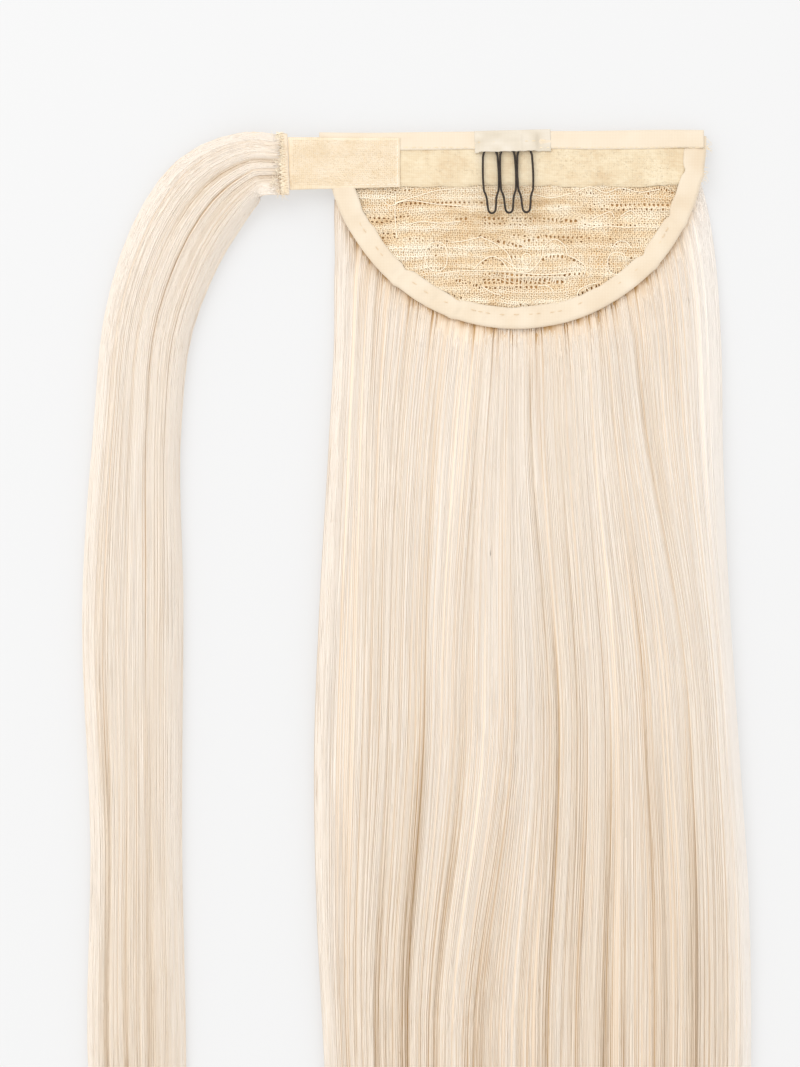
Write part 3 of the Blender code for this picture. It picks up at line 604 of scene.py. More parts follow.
class HairMass:
    """Hair laid along a path. across is 0 at its left edge and 1 at its right one, in locks of equal
    parts, and along is the distance from its head. A lock keeps its hair, so its lines of equal across
    spread and lean as the locks' shares of the width change."""

    def __init__(self, sections, locks, furrows, seed, gathered_at_rim):
        self.path = read(SECTION_COLUMNS, sections)
        self.furrows = furrows
        self.lock = read(LOCK_COLUMNS, locks)
        steps = np.hypot(np.diff(self.path["x"]), np.diff(self.path["y"]))
        self.along = np.concatenate([[0], np.cumsum(steps)])
        self.total = self.along[-1]
        self.count = len(locks)
        self.seed = seed
        self.gathered_at_rim = gathered_at_rim
        self.widest = self.path["width"].max()
        shares = [self.lock[key] / self.lock[key].sum() for key in LOCK_COLUMNS[:3]]
        self.edges = [np.concatenate([[0], np.cumsum(share)]) for share in shares]

    def share(self, across, along):
        """Where across lies as a share of the width: between its lock's edges, which shift on the way."""
        lock = np.clip(np.floor(across * self.count).astype(int), 0, self.count - 1)
        within = across * self.count - lock
        middle = smooth_step(*SHARE_PLACES[:2], along)
        low = smooth_step(*SHARE_PLACES[1:], along)
        weights = (1 - middle, middle - low, low)
        left, right = (
            sum(weight * edges[lock + side] for weight, edges in zip(weights, self.edges))
            for side in (0, 1)
        )
        return left + (right - left) * within

    def at(self, key, along):
        """A value of the path, such as its width, at a distance from the head."""
        return smooth(np.clip(along, 0, self.total), self.along, self.path[key])

    def drift(self, across, along):
        """Slow sideways drift of neighbouring hair in millimetres, none at the edges or the head."""
        wide = across * self.widest
        drift = 1.2 * grain(wide / 15, along / 170, self.seed + 8)
        drift = drift + 0.6 * grain(wide / 6, along / 110, self.seed + 9)
        return drift * (1 - np.abs(2 * across - 1) ** 6) * smooth_step(60, 160, along)

    def place(self, across, along):
        """x and y of a point, and its share of the width. Near the rim the hair fans out."""
        share = self.share(across, along)
        x, y = self.at("x", along), self.at("y", along)
        within = np.clip(along, 1, self.total - 1)
        ahead = [self.at(key, within + 1) - self.at(key, within - 1) for key in ("x", "y")]
        length = np.hypot(*ahead)
        x, y = (place + step / length * np.minimum(along, 0) for place, step in zip((x, y), ahead))
        width = self.at("width", along)
        sideways = (share - 0.5) * width + self.drift(across, along)
        if self.gathered_at_rim:
            clear = self.clear_of_base(x + sideways, y, along)
            draw = 0.13 * np.exp(-np.clip(clear, 0, None) / GATHER_LENGTH)
            draw = draw * (1 - np.abs(2 * share - 1) ** 3)
            sideways = sideways * (1 - draw)
        place_x, place_y = x - ahead[1] / length * sideways, y + ahead[0] / length * sideways
        return place_x, place_y, np.clip(sideways / width + 0.5, 0, 1)

    def clear_of_base(self, x, y, along):
        """How far a point lies beyond the rim of the base, or beyond the head of loose hair."""
        return -y - base_edge_drop(x) if self.gathered_at_rim else along

    def dip(self, across, along, clear):
        """How deep the surface lies below the smooth mass: partings between locks, long thin lines where
        noise crosses zero, fine strands, furrows, and short pleats where the hair leaves its head. Lines
        and strands grow deeper towards the tips. All depths are in millimetres."""
        lock = np.clip(np.floor(across * self.count).astype(int), 0, self.count - 1)
        within = np.clip(across * self.count - lock, 0, 1)
        parting = 1 - np.sin(math.pi * within)
        wide = across * self.widest
        low = smooth_step(130, 430, along)
        coarse = grain(wide / 4.6, along / 260, self.seed) * 0.5 + 0.5
        lines = np.exp(-((grain(wide / 2.9, along / 330, self.seed + 1) / 0.2) ** 2))
        fine = grain(wide / 0.8, along / 220, self.seed + 2) * 0.5 + 0.5
        crown = np.interp(across * self.count - 0.5, np.arange(self.count), self.lock["crown"])
        crown = crown * (0.65 + 0.5 * grain(wide / 9, along / 120, self.seed + 4))
        if not self.gathered_at_rim:
            crown = crown * (0.7 + 0.5 * np.exp(-np.clip(along, 0, None) / 70))
        dip = (0.55 * parting**9 + 0.22 * parting**2) * crown + 0.22 * coarse**2
        dip = dip + (0.10 + 0.42 * low) * lines + (0.05 + 0.13 * low) * fine
        dip = dip * (0.15 + 0.85 * smooth_step(0, GATHER_LENGTH, clear))
        for place, half, depth, start, deepest, gone in self.furrows:
            shape = np.exp(-(((wide - place * self.widest) / (1.2 * half)) ** 2)) * (0.4 + 0.5 * fine)
            dip = dip + depth * shape * smooth_step(start, deepest, along) * smooth_step(gone, deepest, along)
        pleat = np.exp(-((grain(wide / 1.9, 0 * along, self.seed + 3) / 0.28) ** 2))
        strength = np.clip(0.5 + 0.8 * grain(wide / 5, 0 * along, self.seed + 6), 0, 1)
        reach = 17 + 9 * grain(wide / 3, 0 * along, self.seed + 10)
        fade = np.exp(-np.clip(clear, 0, None) / reach) * smooth_step(-5, 0, clear)
        return dip + (1.0 if self.gathered_at_rim else 0.5) * pleat * strength * fade

    def surface(self, across, along):
        """Places of the top surface and its dip there."""
        x, y, share = self.place(across, along)
        thickness, floor = self.at("thickness", along), np.maximum(self.at("floor", along), 0)
        edge = EDGE_SHARE * thickness
        bulge = np.sqrt(np.clip(1 - np.abs(2 * share - 1) ** CROWN_POWER, 0, 1))
        clear = self.clear_of_base(x, y, along)
        dip = self.dip(across, along, clear)
        top = floor + edge + (thickness - edge - 0.7 * dip) * bulge
        if self.gathered_at_rim:
            # Under the tape it lies 1.45 mm below the plane of the base, and beside the tape it swells
            # to 0.45 mm below
            below = 1.45 - 1.0 * smooth_step(-0.2, 0.6, clear)
            sill = BASE_HEIGHT - y * math.sin(BASE_TILT) - below - 0.7 * dip
            swell = smooth_step(-7, -2.5, clear) * smooth_step(55, 4, clear) * bulge
            top = top + np.clip(sill - top, 0, 1.4) * swell
        else:
            # Its first few millimetres lie over its sewn head, and then it sinks
            sill = BASE_HEIGHT - y * math.sin(BASE_TILT) + HEAD_SILL - dip
            top = top + np.clip(sill - top, 0, None) * smooth_step(9, 1, along)
        return x, y, top, dip * bulge

    def tone(self, across, along, dip, x, y):
        """Lightness of the hair: darker in its grooves, at its head and towards its tips, and paler at its
        thin edges, most at the right one, and out of sight under the base, so that its end looks like the
        rest. The darkening in the grooves and at the head is painted shade, under the rim tape or the sewn
        band, and the paler thin edges are painted light where the light comes through."""
        clear = self.clear_of_base(x, y, along)
        wide = across * self.widest
        broad = grain(wide / 10, along / 200, self.seed + 5)
        edge = np.clip(1 - np.minimum(across, 1 - across) * self.widest / 9, 0, 1)
        # Painted shade darkens the grooves by their depth, and painted light makes both thin edges paler
        shade = 0.78 - 0.36 * dip + 0.06 * broad + 0.14 * edge - 0.10 * smooth_step(190, 400, along)
        if self.gathered_at_rim:
            # Painted light where the light comes through the thin right edge
            shade = shade + 0.3 * np.clip(1 - (1 - across) * self.widest / PALE_EDGE, 0, 1)
            # Painted shadow of the rim tape on the hair just beyond the rim, darkest in a thin line at its
            # edge
            shade = shade - 0.22 * np.exp(-np.clip(clear, 0, None) / 12) - 0.25 * smooth_step(1.5, 0.2, clear)
            shade = shade + 0.4 * smooth_step(-3, -8, clear)
        else:
            # Painted shade at the head of the wrapping strand, under its sewn band and threads
            shade = shade - 0.12 * np.exp(-np.clip(along + 2, 0, None) / 6)
        return shade


def hair_body(mass, name, node, columns, stations, reach=(0, 0)):
    """The mass itself: a closed surface over a grid of across and along, with notched tips between
    the locks and grooves on its underside, which has a quarter of the columns. reach gives how far the
    head lies beyond the path's start, at the left edge and at the right one."""
    across = np.linspace(0, 1, columns)
    lock = np.clip(np.floor(across * mass.count).astype(int), 0, mass.count - 1)
    from_middle = np.abs(2 * (across * mass.count - lock) - 1)
    ragged = 9 * grain(across * mass.widest / 1.6, across * 0, mass.seed + 7)
    tip = mass.total - mass.lock["short"][lock] - NOTCH * from_middle - np.abs(ragged)
    station = np.asarray(stations, float)
    split = TIP_SPLIT * mass.total
    beyond = np.clip((station - split) / (mass.total - split), 0, 1)[:, None]
    along = np.minimum(station, split)[:, None] + beyond * (tip - split)
    further = reach[0] + (reach[1] - reach[0]) * smooth_step(0.2, 1, across)
    along = along - further * np.clip(1 - station / 20, 0, 1)[:, None]
    across = np.broadcast_to(across, along.shape)
    x, y, top, dip = mass.surface(across, along)
    _, _, share = mass.place(across, along)
    thickness, floor = mass.at("thickness", along), np.maximum(mass.at("floor", along), 0)
    edge = EDGE_SHARE * thickness
    from_centre = np.abs(2 * share - 1)
    curl = np.clip((from_centre - FLAT_SHARE) / (1 - FLAT_SHARE), 0, 1) ** 3
    bulge = np.sqrt(np.clip(1 - from_centre**CROWN_POWER, 0, 1))
    groove = np.minimum(0.45 * dip, 0.3 * thickness) * bulge
    under = floor + edge * curl + groove
    # Towards its tips the mass thins out
    thin = 1 - 0.85 * smooth_step(0.75, 1, station / mass.total)[:, None] * (beyond > 0)
    top = under + (top - under) * thin
    lower = slice(None, None, 4)
    points, faces = mantle(on_floor(x, y, top), on_floor(x, y, under)[:, lower])
    flow = np.stack([across * mass.widest, along], -1)
    flow = np.concatenate([flow, flow[:, lower][:, -2:0:-1]], 1)
    # Painted shade: the even surface between the strands catches more light than they do, most where it
    # faces the lamp on the left, so its colour is painted darker to match them
    step = np.hypot(np.gradient(x, axis=1), np.gradient(y, axis=1))
    facing = np.clip(np.gradient(top, axis=1) / step, 0, 0.8)
    tone = mass.tone(across, along, dip, x, y) - 0.22 - 0.35 * facing
    # Its underside is painted a little darker still: painted shade
    tone = np.concatenate([tone, tone[:, lower][:, -2:0:-1] - 0.05], 1)
    piece(name, points, faces, FINISH["hair"], "hair", tone, flow, replaces=(node,))


def strands(mass, name, count, steps, seed, head, radius, spread=None, bow=0.0):
    """Loose strands over the mass: each keeps near one line across, wanders slowly, rides a little above
    the surface, and thins to a point at its tip. head is where strands start. spread gives how far, in
    millimetres, strands lie outside the mass's edges, instead of all over it, where a negative value is
    inside them. bow lets some leave it."""
    rng = np.random.default_rng(seed)
    if spread is None:
        start = rng.uniform(0, 1, count)
    else:
        out = rng.uniform(*spread, count) / mass.widest
        start = np.where(rng.random(count) < 0.5, -out, 1 + out)
    start = start[:, None]
    unit = np.linspace(0, 1, steps) ** 1.6
    first = rng.uniform(*head, count)
    lock = np.clip(np.floor(start[:, 0] * mass.count).astype(int), 0, mass.count - 1)
    short = mass.lock["short"][lock] + rng.gamma(2.0, 14.0, count)
    last = np.maximum(mass.total - short, mass.total * 0.55)
    along = first[:, None] + (last - first)[:, None] * unit
    phase = rng.uniform(0, 400, count)[:, None]
    number = np.arange(count)[:, None]
    wander = 0.35 * grain(number * 1.37, (along + phase) / 90, seed + 11)
    wander = wander + 0.9 * grain(number * 2.11, (along + phase) / 280, seed + 12)
    away = bow * rng.gamma(1.2, 1.0, count)[:, None] * np.sin(math.pi * unit) ** 2
    across = start + (wander + np.sign(start - 0.5) * away) / mass.widest
    inside = np.clip(across, 0.002, 0.998)
    if spread is None:
        across = inside
    x, y, top, dip = mass.surface(inside, along)
    x = x + (across - inside) * mass.widest
    ride = rng.uniform(*STRAND_LIFT, count)[:, None] * (0.6 + 0.4 * np.sin(math.pi * unit))
    clear = mass.clear_of_base(x, y, along)
    ride = ride * smooth_step(0, 14, clear) + 0.02
    height = np.maximum(top + ride, radius)
    thin = np.clip((1 - unit) * 9, 0.15, 1) * (0.7 + 0.6 * rng.random(count))[:, None]
    points, faces = tubes(on_floor(x, y, height), radius * MM * thin, 3, 0.7)
    tone = mass.tone(inside, along, dip, x, y) + rng.normal(0, 0.032, count)[:, None]
    # Painted light: near the right edge, where the light comes through, strands may be paler
    light_through_edge = 0.4 * np.clip(1 - (1 - inside) * mass.widest / PALE_EDGE, 0, 1) * mass.gathered_at_rim
    tone = np.repeat(np.minimum(tone, 0.79 + light_through_edge)[:, :, None], 3, 2)
    turned = 2.5 * grain(number * 1.71, (along + phase) / 50, seed + 13)
    flow = np.stack([rng.uniform(0, 500, count)[:, None] + turned, along], -1)
    flow = np.repeat(flow[:, :, None], 3, 2)
    piece(name, points, faces, FINISH["hair"], "hair", tone, flow)


# Base


def rim_path(count, first_drop=1.5, last_drop=8.9):
    """Points along the rim from its right end, round the bottom, to its left end, and the inward
    direction at each: the normal of the half ellipse."""
    first, last = math.asin(first_drop / BASE_DEPTH), math.pi - math.asin(last_drop / BASE_DEPTH)
    turn = np.linspace(first, last, count)
    points = np.stack([BASE_HALF_WIDTH * np.cos(turn), -BASE_DEPTH * np.sin(turn)], -1)
    inward = np.stack([-np.cos(turn) / BASE_HALF_WIDTH, np.sin(turn) / BASE_DEPTH], -1)
    return points, inward / np.linalg.norm(inward, axis=1, keepdims=True)


def folded_tape(path, inward, width, wave, leaf):
    """A tape folded over an edge: a ring of points round both leaves and their inner sides, carried
    along the path. Its leaves lie that far above and below the plane of the base, and wave lifts the
    upper one at each path point and place across it."""
    across = np.linspace(1, 0.06, 9)
    lower = np.linspace(0.08, 1, 4)
    inner_lower, inner_upper = np.linspace(1, 0.12, 4), np.linspace(0.12, 1, 9)
    fold_out, fold_in = np.array([0.0, -0.02, 0.0]), np.array([0.075])
    share = np.concatenate([across, fold_out, lower, inner_lower, fold_in, inner_upper])
    upper = np.concatenate([np.ones(9), np.zeros(3 + 4 + 4 + 1), np.ones(9)])
    height = np.concatenate([
        np.full(9, leaf), [0.62 * leaf, 0, -0.62 * leaf], np.full(4, -leaf),
        np.full(4, TAPE_CLOTH - leaf), [0], np.full(9, leaf - TAPE_CLOTH),
    ])
    offset = share * width[:, None]
    lifted = height + upper * wave(np.arange(len(path))[:, None] / (len(path) - 1), share)
    x = path[:, :1] + inward[:, :1] * offset
    y = path[:, 1:] + inward[:, 1:] * offset
    faces = ring_faces(len(path), len(share))
    return on_base(x, y, lifted), faces


def stitches(centres, directions, length, radius, height, seed):
    """Short raised stitches: each a tube over an arch, whose ends dip into the cloth."""
    rng = np.random.default_rng(seed)
    t = np.linspace(-0.5, 0.5, 6)
    sizes = length * rng.uniform(0.85, 1.1, len(centres))
    skew = rng.normal(0, 0.06, (len(centres), 2))
    heading = directions + skew
    heading = heading / np.linalg.norm(heading, axis=1, keepdims=True)
    x = centres[:, :1] + heading[:, :1] * sizes[:, None] * t
    y = centres[:, 1:2] + heading[:, 1:2] * sizes[:, None] * t
    z = np.reshape(height, (-1, 1)) + radius * (np.cos(math.pi * t) * 1.6 - 0.8)
    return tubes(on_base(x, y, z), radius * MM, 5)


def curved_binding():
    """The tape along the rim, a little wavy, pleated at five places, with its row of stitches."""
    count = 300
    path, inward = rim_path(count)
    u = np.linspace(0, 1, count)
    # Places of the pleats along the rim, as shares of its length from the right end
    pleats = np.array([0.066, 0.155, 0.245, 0.63, 0.745])
    near = np.exp(-(((u[:, None] - pleats) / 0.008) ** 2)).sum(1)
    width = 8.5 + 0.4 * grain(u * 24, u * 0, 31) + 0.2 * grain(u * 70, u * 0, 37) - 0.6 * near
    path = path - inward * (0.5 * near + 0.2 * grain(u * 26, u * 0, 32))[:, None]

    def wave(t, share):
        wrinkle = 0.22 * grain(t * 60, share * 2, 33) + 0.2 * grain(t * 140 + share, share * 2, 34)
        pleat = 0.35 * np.exp(-(((t - pleats[:, None, None]) / 0.005) ** 2)).sum(0)
        # It lies over the strip of loop tape near both ends, and under the straight tape at its right
        # end. Elsewhere its inner edge settles on the net
        over = 0.32 * (smooth_step(0.14, 0.10, t) + smooth_step(0.86, 0.90, t))
        over = over - 0.3 * smooth_step(0.035, 0.02, t)
        settled = -0.45 * smooth_step(0.3, 1, share) * np.clip(1 - over / 0.3, 0, 1)
        return (wrinkle + pleat) * smooth_step(0, 0.3, share) * (1 - 0.7 * (over > 0.3)) + over + settled

    points, faces = folded_tape(path, inward, width, wave, RIM_TAPE_TOP)
    ring = points.shape[1]
    tone = 0.55 + 0.10 * grain(np.repeat(u * 40, ring), np.tile(np.arange(ring) / 6, count), 35)
    tape = piece("binding_round_rim", points, faces, FINISH["tape"], "tape", tone,
                 replaces=("curved_binding",))

    # Its stitches show here and there, and most along its lowest part
    seam = np.arange(6, count - 6, 4)
    shown = 0.25 + 0.5 * np.exp(-(((seam / count - 0.55) / 0.12) ** 2))
    seam = seam[np.random.default_rng(39).random(len(seam)) < shown]
    centres = path[seam] + inward[seam] * (5.0 + 0.5 * grain(seam / 9, seam * 0, 38))[:, None]
    headings = np.stack([inward[seam, 1], -inward[seam, 0]], -1)
    shape = stitches(centres, headings, 1.9, 0.12, RIM_TAPE_TOP - 0.1, 36)
    piece("rim_stitches", *shape, FINISH["weft"], "tape", 0.45)


def top_binding():
    """The tape along the straight edge, whose lower edge runs a little unevenly."""
    left, right, count = -78.8, 75.6, 220
    x = np.linspace(left, right, count)
    # It was sewn on a little askew, and its right end lies higher
    path = np.stack([x, 0.25 * grain(x / 30, x * 0, 41) + 1.1 * smooth_step(-50, 75, x)], -1)
    inward = np.tile([0.0, -1.0], (count, 1))
    width = 7.7 + 0.35 * grain(x / 17, x * 0, 42) + 0.5 * np.exp(-((x + 13.5) / 2.6) ** 2)

    def wave(t, share):
        wrinkle = 0.12 * grain(t * 38, share * 2, 43) + 0.08 * grain(t * 110, share * 3, 44)
        return wrinkle * smooth_step(0, 0.3, share) + 0.12 * smooth_step(0.9, 0.94, t)

    points, faces = folded_tape(path, inward, width, wave, EDGE_TAPE_TOP)
    ring = points.shape[1]
    tone = 0.62 + 0.05 * grain(np.repeat(x / 9, ring), np.tile(np.arange(ring) / 6, count), 45)
    tape = piece("binding_straight_edge", points, faces, FINISH["tape"], "tape", tone,
                 replaces=("top_binding",))

    seam = np.arange(-44.0, 74.0, 3.0)
    centres = np.stack([seam, np.full(len(seam), -6.3)], -1)
    headings = np.tile([1.0, 0.0], (len(seam), 1))
    shape = stitches(centres, headings, 2.0, 0.12, EDGE_TAPE_TOP + 0.05, 46)
    piece("edge_stitches", *shape, FINISH["thread"], "tape", 0.5)


def eyelet_table():
    """Middle and size of every eyelet: evenly spread along each row, bowed by a half sine."""
    table = read(EYELET_COLUMNS, EYELET_ROWS)
    found = []
    for row in range(len(EYELET_ROWS)):
        t = np.linspace(0, 1, int(table["count"][row]))
        x = table["left"][row] + t * (table["right"][row] - table["left"][row])
        drop = table["drop_left"][row] + t * (table["drop_right"][row] - table["drop_left"][row])
        drop = drop - table["bow"][row] * np.sin(math.pi * t)
        size = np.stack([table["width"][row] + 0 * t, table["height"][row] + 0 * t], -1) / 2 + THREAD_ROOM
        found.append(np.column_stack([x, -drop, size]))
    return np.concatenate(found)


def lace_relief(x, y):
    """Height of the lace: ridges where rows of weft lie below it, and a soft unevenness."""
    bend = 0.8 * grain(x / 26, y / 30, 51)
    ridge = sum(np.exp(-((y + drop + bend) / 1.1) ** 2) for drop in RIDGE_DROPS)
    return 0.55 * ridge * smooth_step(4, 12, -y - 16) + 0.2 * grain(x / 7, y / 5, 52)


def density(x, y):
    """How dense the lace's ground is, from 0 for open net to 1 for cloth."""
    value = 0.38 + 0.42 * grain(x / 9, y / 3.4, 53) + 0.2 * grain(x / 3, y / 1.6, 58)
    for middle_x, middle_y, half_width, half_height, strength in DENSE_AREAS:
        away = ((x - middle_x) / half_width) ** 2 + ((y - middle_y) / half_height) ** 2
        value = value + strength * np.exp(-(away**2))
    return np.clip(value, 0, 1)


def net_threads(lines, eyelets, over):
    """Threads of the net along the given lines of points: pushed out of each eyelet to its rim, thicker
    in dense cloth, and woven over and under by turns."""
    parts = []
    for number, line in enumerate(lines):
        # The whole net is drawn a little out of square
        x = line[:, 0] + 0.5 * grain(line[:, 0] / 6, line[:, 1] / 6, 59)
        y = line[:, 1] + 0.9 * grain(line[:, 0] / 8, line[:, 1] / 6, 60)
        beside = [np.abs(eyelets[:, axis, None] - place).min(1) < 3 for axis, place in enumerate((x, y))]
        for middle_x, middle_y, half_width, half_height in eyelets[beside[0] & beside[1]]:
            from_x, from_y = x - middle_x, y - middle_y
            away = np.hypot(from_x / half_width, from_y / half_height) + 1e-6
            push = np.where(away < EYELET_REACH, (1 + away * (1 - 1 / EYELET_REACH)) / away, 1)
            x, y = middle_x + from_x * push, middle_y + from_y * push
        weave = 0.09 * (-1.0) ** (np.arange(len(x)) + number) * over
        z = lace_relief(x, y) + weave
        thick = 0.28 + 0.16 * density(x, y)
        path = on_base(x, y, z)[None]
        shape, faces = tubes(path, (thick * MM)[None], 3, 0.6)
        # Painted light and shade: the net is lighter on its ridges and darker in the hollows between them
        tone = 0.50 + 0.30 * density(x, y) + 0.35 * (lace_relief(x, y) - 0.15)
        tone = tone + 0.12 * grain(x / 2, y / 2, 54)
        tone = tone + 0.12 * grain(x / 14, y / 0.9, 57) + 0.16 * grain(x / 18, y / 2.6, 65)
        tone = tone + 0.15 * smooth_step(-27, -22, y)
        parts.append((shape, faces, np.repeat(tone, 3)))
    return parts


def lace():
    """The net: level and upright threads on a fine pitch inside the rim, and raised cord on its motifs."""
    pitch = 0.92
    depth, half = BASE_DEPTH - LACE_INSET - 0.2, BASE_HALF_WIDTH - LACE_INSET - 0.2
    first = LACE_INSET + 0.6
    eyelets = eyelet_table()
    rows, columns = [], []
    for y in np.arange(first, depth - 0.5, pitch):
        reach = half * math.sqrt(1 - (y / depth) ** 2)
        x = np.arange(-math.floor(reach / pitch), math.floor(reach / pitch) + 1) * pitch
        sway = 0.30 * grain(x / 4, x * 0 + y / 2.5, 55) + 0.16 * (-1.0) ** np.arange(len(x))
        rows.append(np.column_stack([x, sway - y]))
    for x in np.arange(-math.floor(half / pitch), math.floor(half / pitch) + 0.5) * pitch + pitch / 2:
        reach = depth * math.sqrt(max(0, 1 - (x / half) ** 2))
        y = np.arange(first + pitch / 2, reach, pitch)
        if len(y) > 3:
            sway = 0.30 * grain(y * 0 + x / 2.5, y / 4, 56) + 0.16 * (-1.0) ** np.arange(len(y))
            columns.append(np.column_stack([x + sway, -y]))
    points, faces, tone = gathered(net_threads(columns, eyelets, -1))
    upright = piece("lace_net_upright_threads", points, faces, FINISH["lace"], "lace", tone)
    points, faces, tone = gathered(net_threads(rows, eyelets, 1))
    net = piece("lace_net", points, faces, FINISH["lace"], "lace", tone, replaces=("lace_base",))

    cords = []
    turn = np.linspace(0, math.tau, 33)
    round_x, round_y = (np.sign(wave) * np.abs(wave) ** 0.8 for wave in (np.cos(turn), np.sin(turn)))
    rings = [
        np.stack([middle_x + half_width * round_x, middle_y + half_height * round_y], -1)
        for middle_x, middle_y, half_width, half_height in MOTIF_RINGS
    ]
    lines = [smooth_line(line, 14 * (len(line) - 1)) for line in MOTIF_LINES]
    for line in rings + lines:
        x, y = line[:, 0], line[:, 1]
        path = on_base(x, y, lace_relief(x, y) + 0.34)[None]
        cords.append((*tubes(path, 0.19 * MM, 5, 0.8), 1.1))
    points, faces, tone = gathered(cords)
    piece("lace_outline_cord", points, faces, FINISH["lace"], "lace", tone)


def hair_under_lace():
    """Hair that fills the space between the rows, right behind the net, whose ridges it follows: a slab
    whose upper side sinks behind each eyelet."""
    # It ends under the tape
    inset = 5.5
    depth, half = BASE_DEPTH - inset, BASE_HALF_WIDTH - inset
    v = np.linspace(0.14, 0.997, 130)[:, None]
    u = np.linspace(-1, 1, 250)[None]
    y = -depth * v + 0 * u
    x = half * np.sqrt(1 - v**2) * u
    top = lace_relief(x, y) - 0.20 + 0.06 * grain(x / 0.9, y / 14, 62)
    for middle_x, middle_y, half_width, half_height in eyelet_table():
        away = ((x - middle_x) / (half_width + 0.2)) ** 2 + ((y - middle_y) / (half_height + 0.2)) ** 2
        top = top - 0.6 * np.exp(-(away**2))
    top = np.maximum(top, -1.5)
    points, faces = slab(on_base(x, y, top)[:, ::-1], on_base(x, y, -2.3 + 0 * x)[:, ::-1])
    tone = 0.78 + 0.15 * grain(x / 1.1, y / 12, 63) + 0.2 * grain(x / 14, y / 2.2, 64)
    # Painted shade: darker where its upper side sinks behind an eyelet
    tone = tone + 0.7 * np.minimum(top + 0.2 - lace_relief(x, y), 0)
    flow = np.stack([x, -y], -1)
    piece("hair_under_lace", points, faces, FINISH["roots"], "hair", both_sides(tone[:, ::-1]),
          both_sides(flow[:, ::-1]))


def weft_rows():
    """The sewn heads of the hair rows: flat bands whose upper side is ribbed by overlock stitches."""
    parts = []
    half_band = 1.35
    for number in range(1, 8):
        low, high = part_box(f"weft_track_{number}")
        half = (high.x - low.x) / 2 / MM
        middle = ((low.y + high.y) / 2 - EDGE_Y) / MM / math.cos(BASE_TILT)
        x = np.arange(-half, half, 0.75)[:, None]
        across = np.linspace(half_band, -half_band, 7)[None]
        rib = 0.10 * np.sin(math.tau * x / 1.5 + 1.3 * across) * np.cos(across * 1.1)
        top = on_base(x, middle + across, -0.95 + rib - 0.25 * np.abs(across / half_band) ** 3)
        under = on_base(x + 0 * across, middle + across + 0 * x, -1.75)
        shape, faces = slab(top, under)
        # Their low tone is partly the golden thread and partly painted shade under the net
        tone = 0.35 + 0.25 * grain(x / 3 + 0 * across, across * 2 + number * 7, 61)
        parts.append((shape, faces, both_sides(tone)))
    points, faces, tone = gathered(parts)
    names = [f"weft_track_{number}" for number in range(1, 8)]
    piece("weft_rows", points, faces, FINISH["weft"], "weft_thread", tone, replaces=names)


def strip(name, corners, height, thickness, edges, finish, slot, tone, replaces):
    """A flat tape between four corners (upper left, lower left, lower right, upper right): a slab over
    a grid of 0.5 mm, rounded at its edges. height and tone give its upper side and its lightness at a
    place, and edges how far its lower edge waves."""
    corners = np.array(corners, float)
    length = np.linalg.norm(corners[3] - corners[0])
    width = np.linalg.norm(corners[1] - corners[0])
    step = 0.5
    u = np.linspace(0, 1, int(length / step) + 1)[:, None, None]
    v = np.linspace(0, 1, int(width / step) + 1)[None, :, None]
    plane = (corners[0] * (1 - u) + corners[3] * u) * (1 - v) + (corners[1] * (1 - u) + corners[2] * u) * v
    x, y = plane[..., 0], plane[..., 1]
    y = y + edges(x) * smooth_step(0.7, 1, v[..., 0])
    edge = np.minimum(np.minimum(u, 1 - u) * length, np.minimum(v, 1 - v) * width)[..., 0]
    rounding = 0.7 * thickness * (1 - smooth_step(0, 1.1, edge))
    top = height(x, y)
    points, faces = slab(on_base(x, y, top - rounding), on_base(x, y, top - thickness))
    tape = piece(name, points, faces, finish, slot, both_sides(tone(x, y)), replaces=replaces)


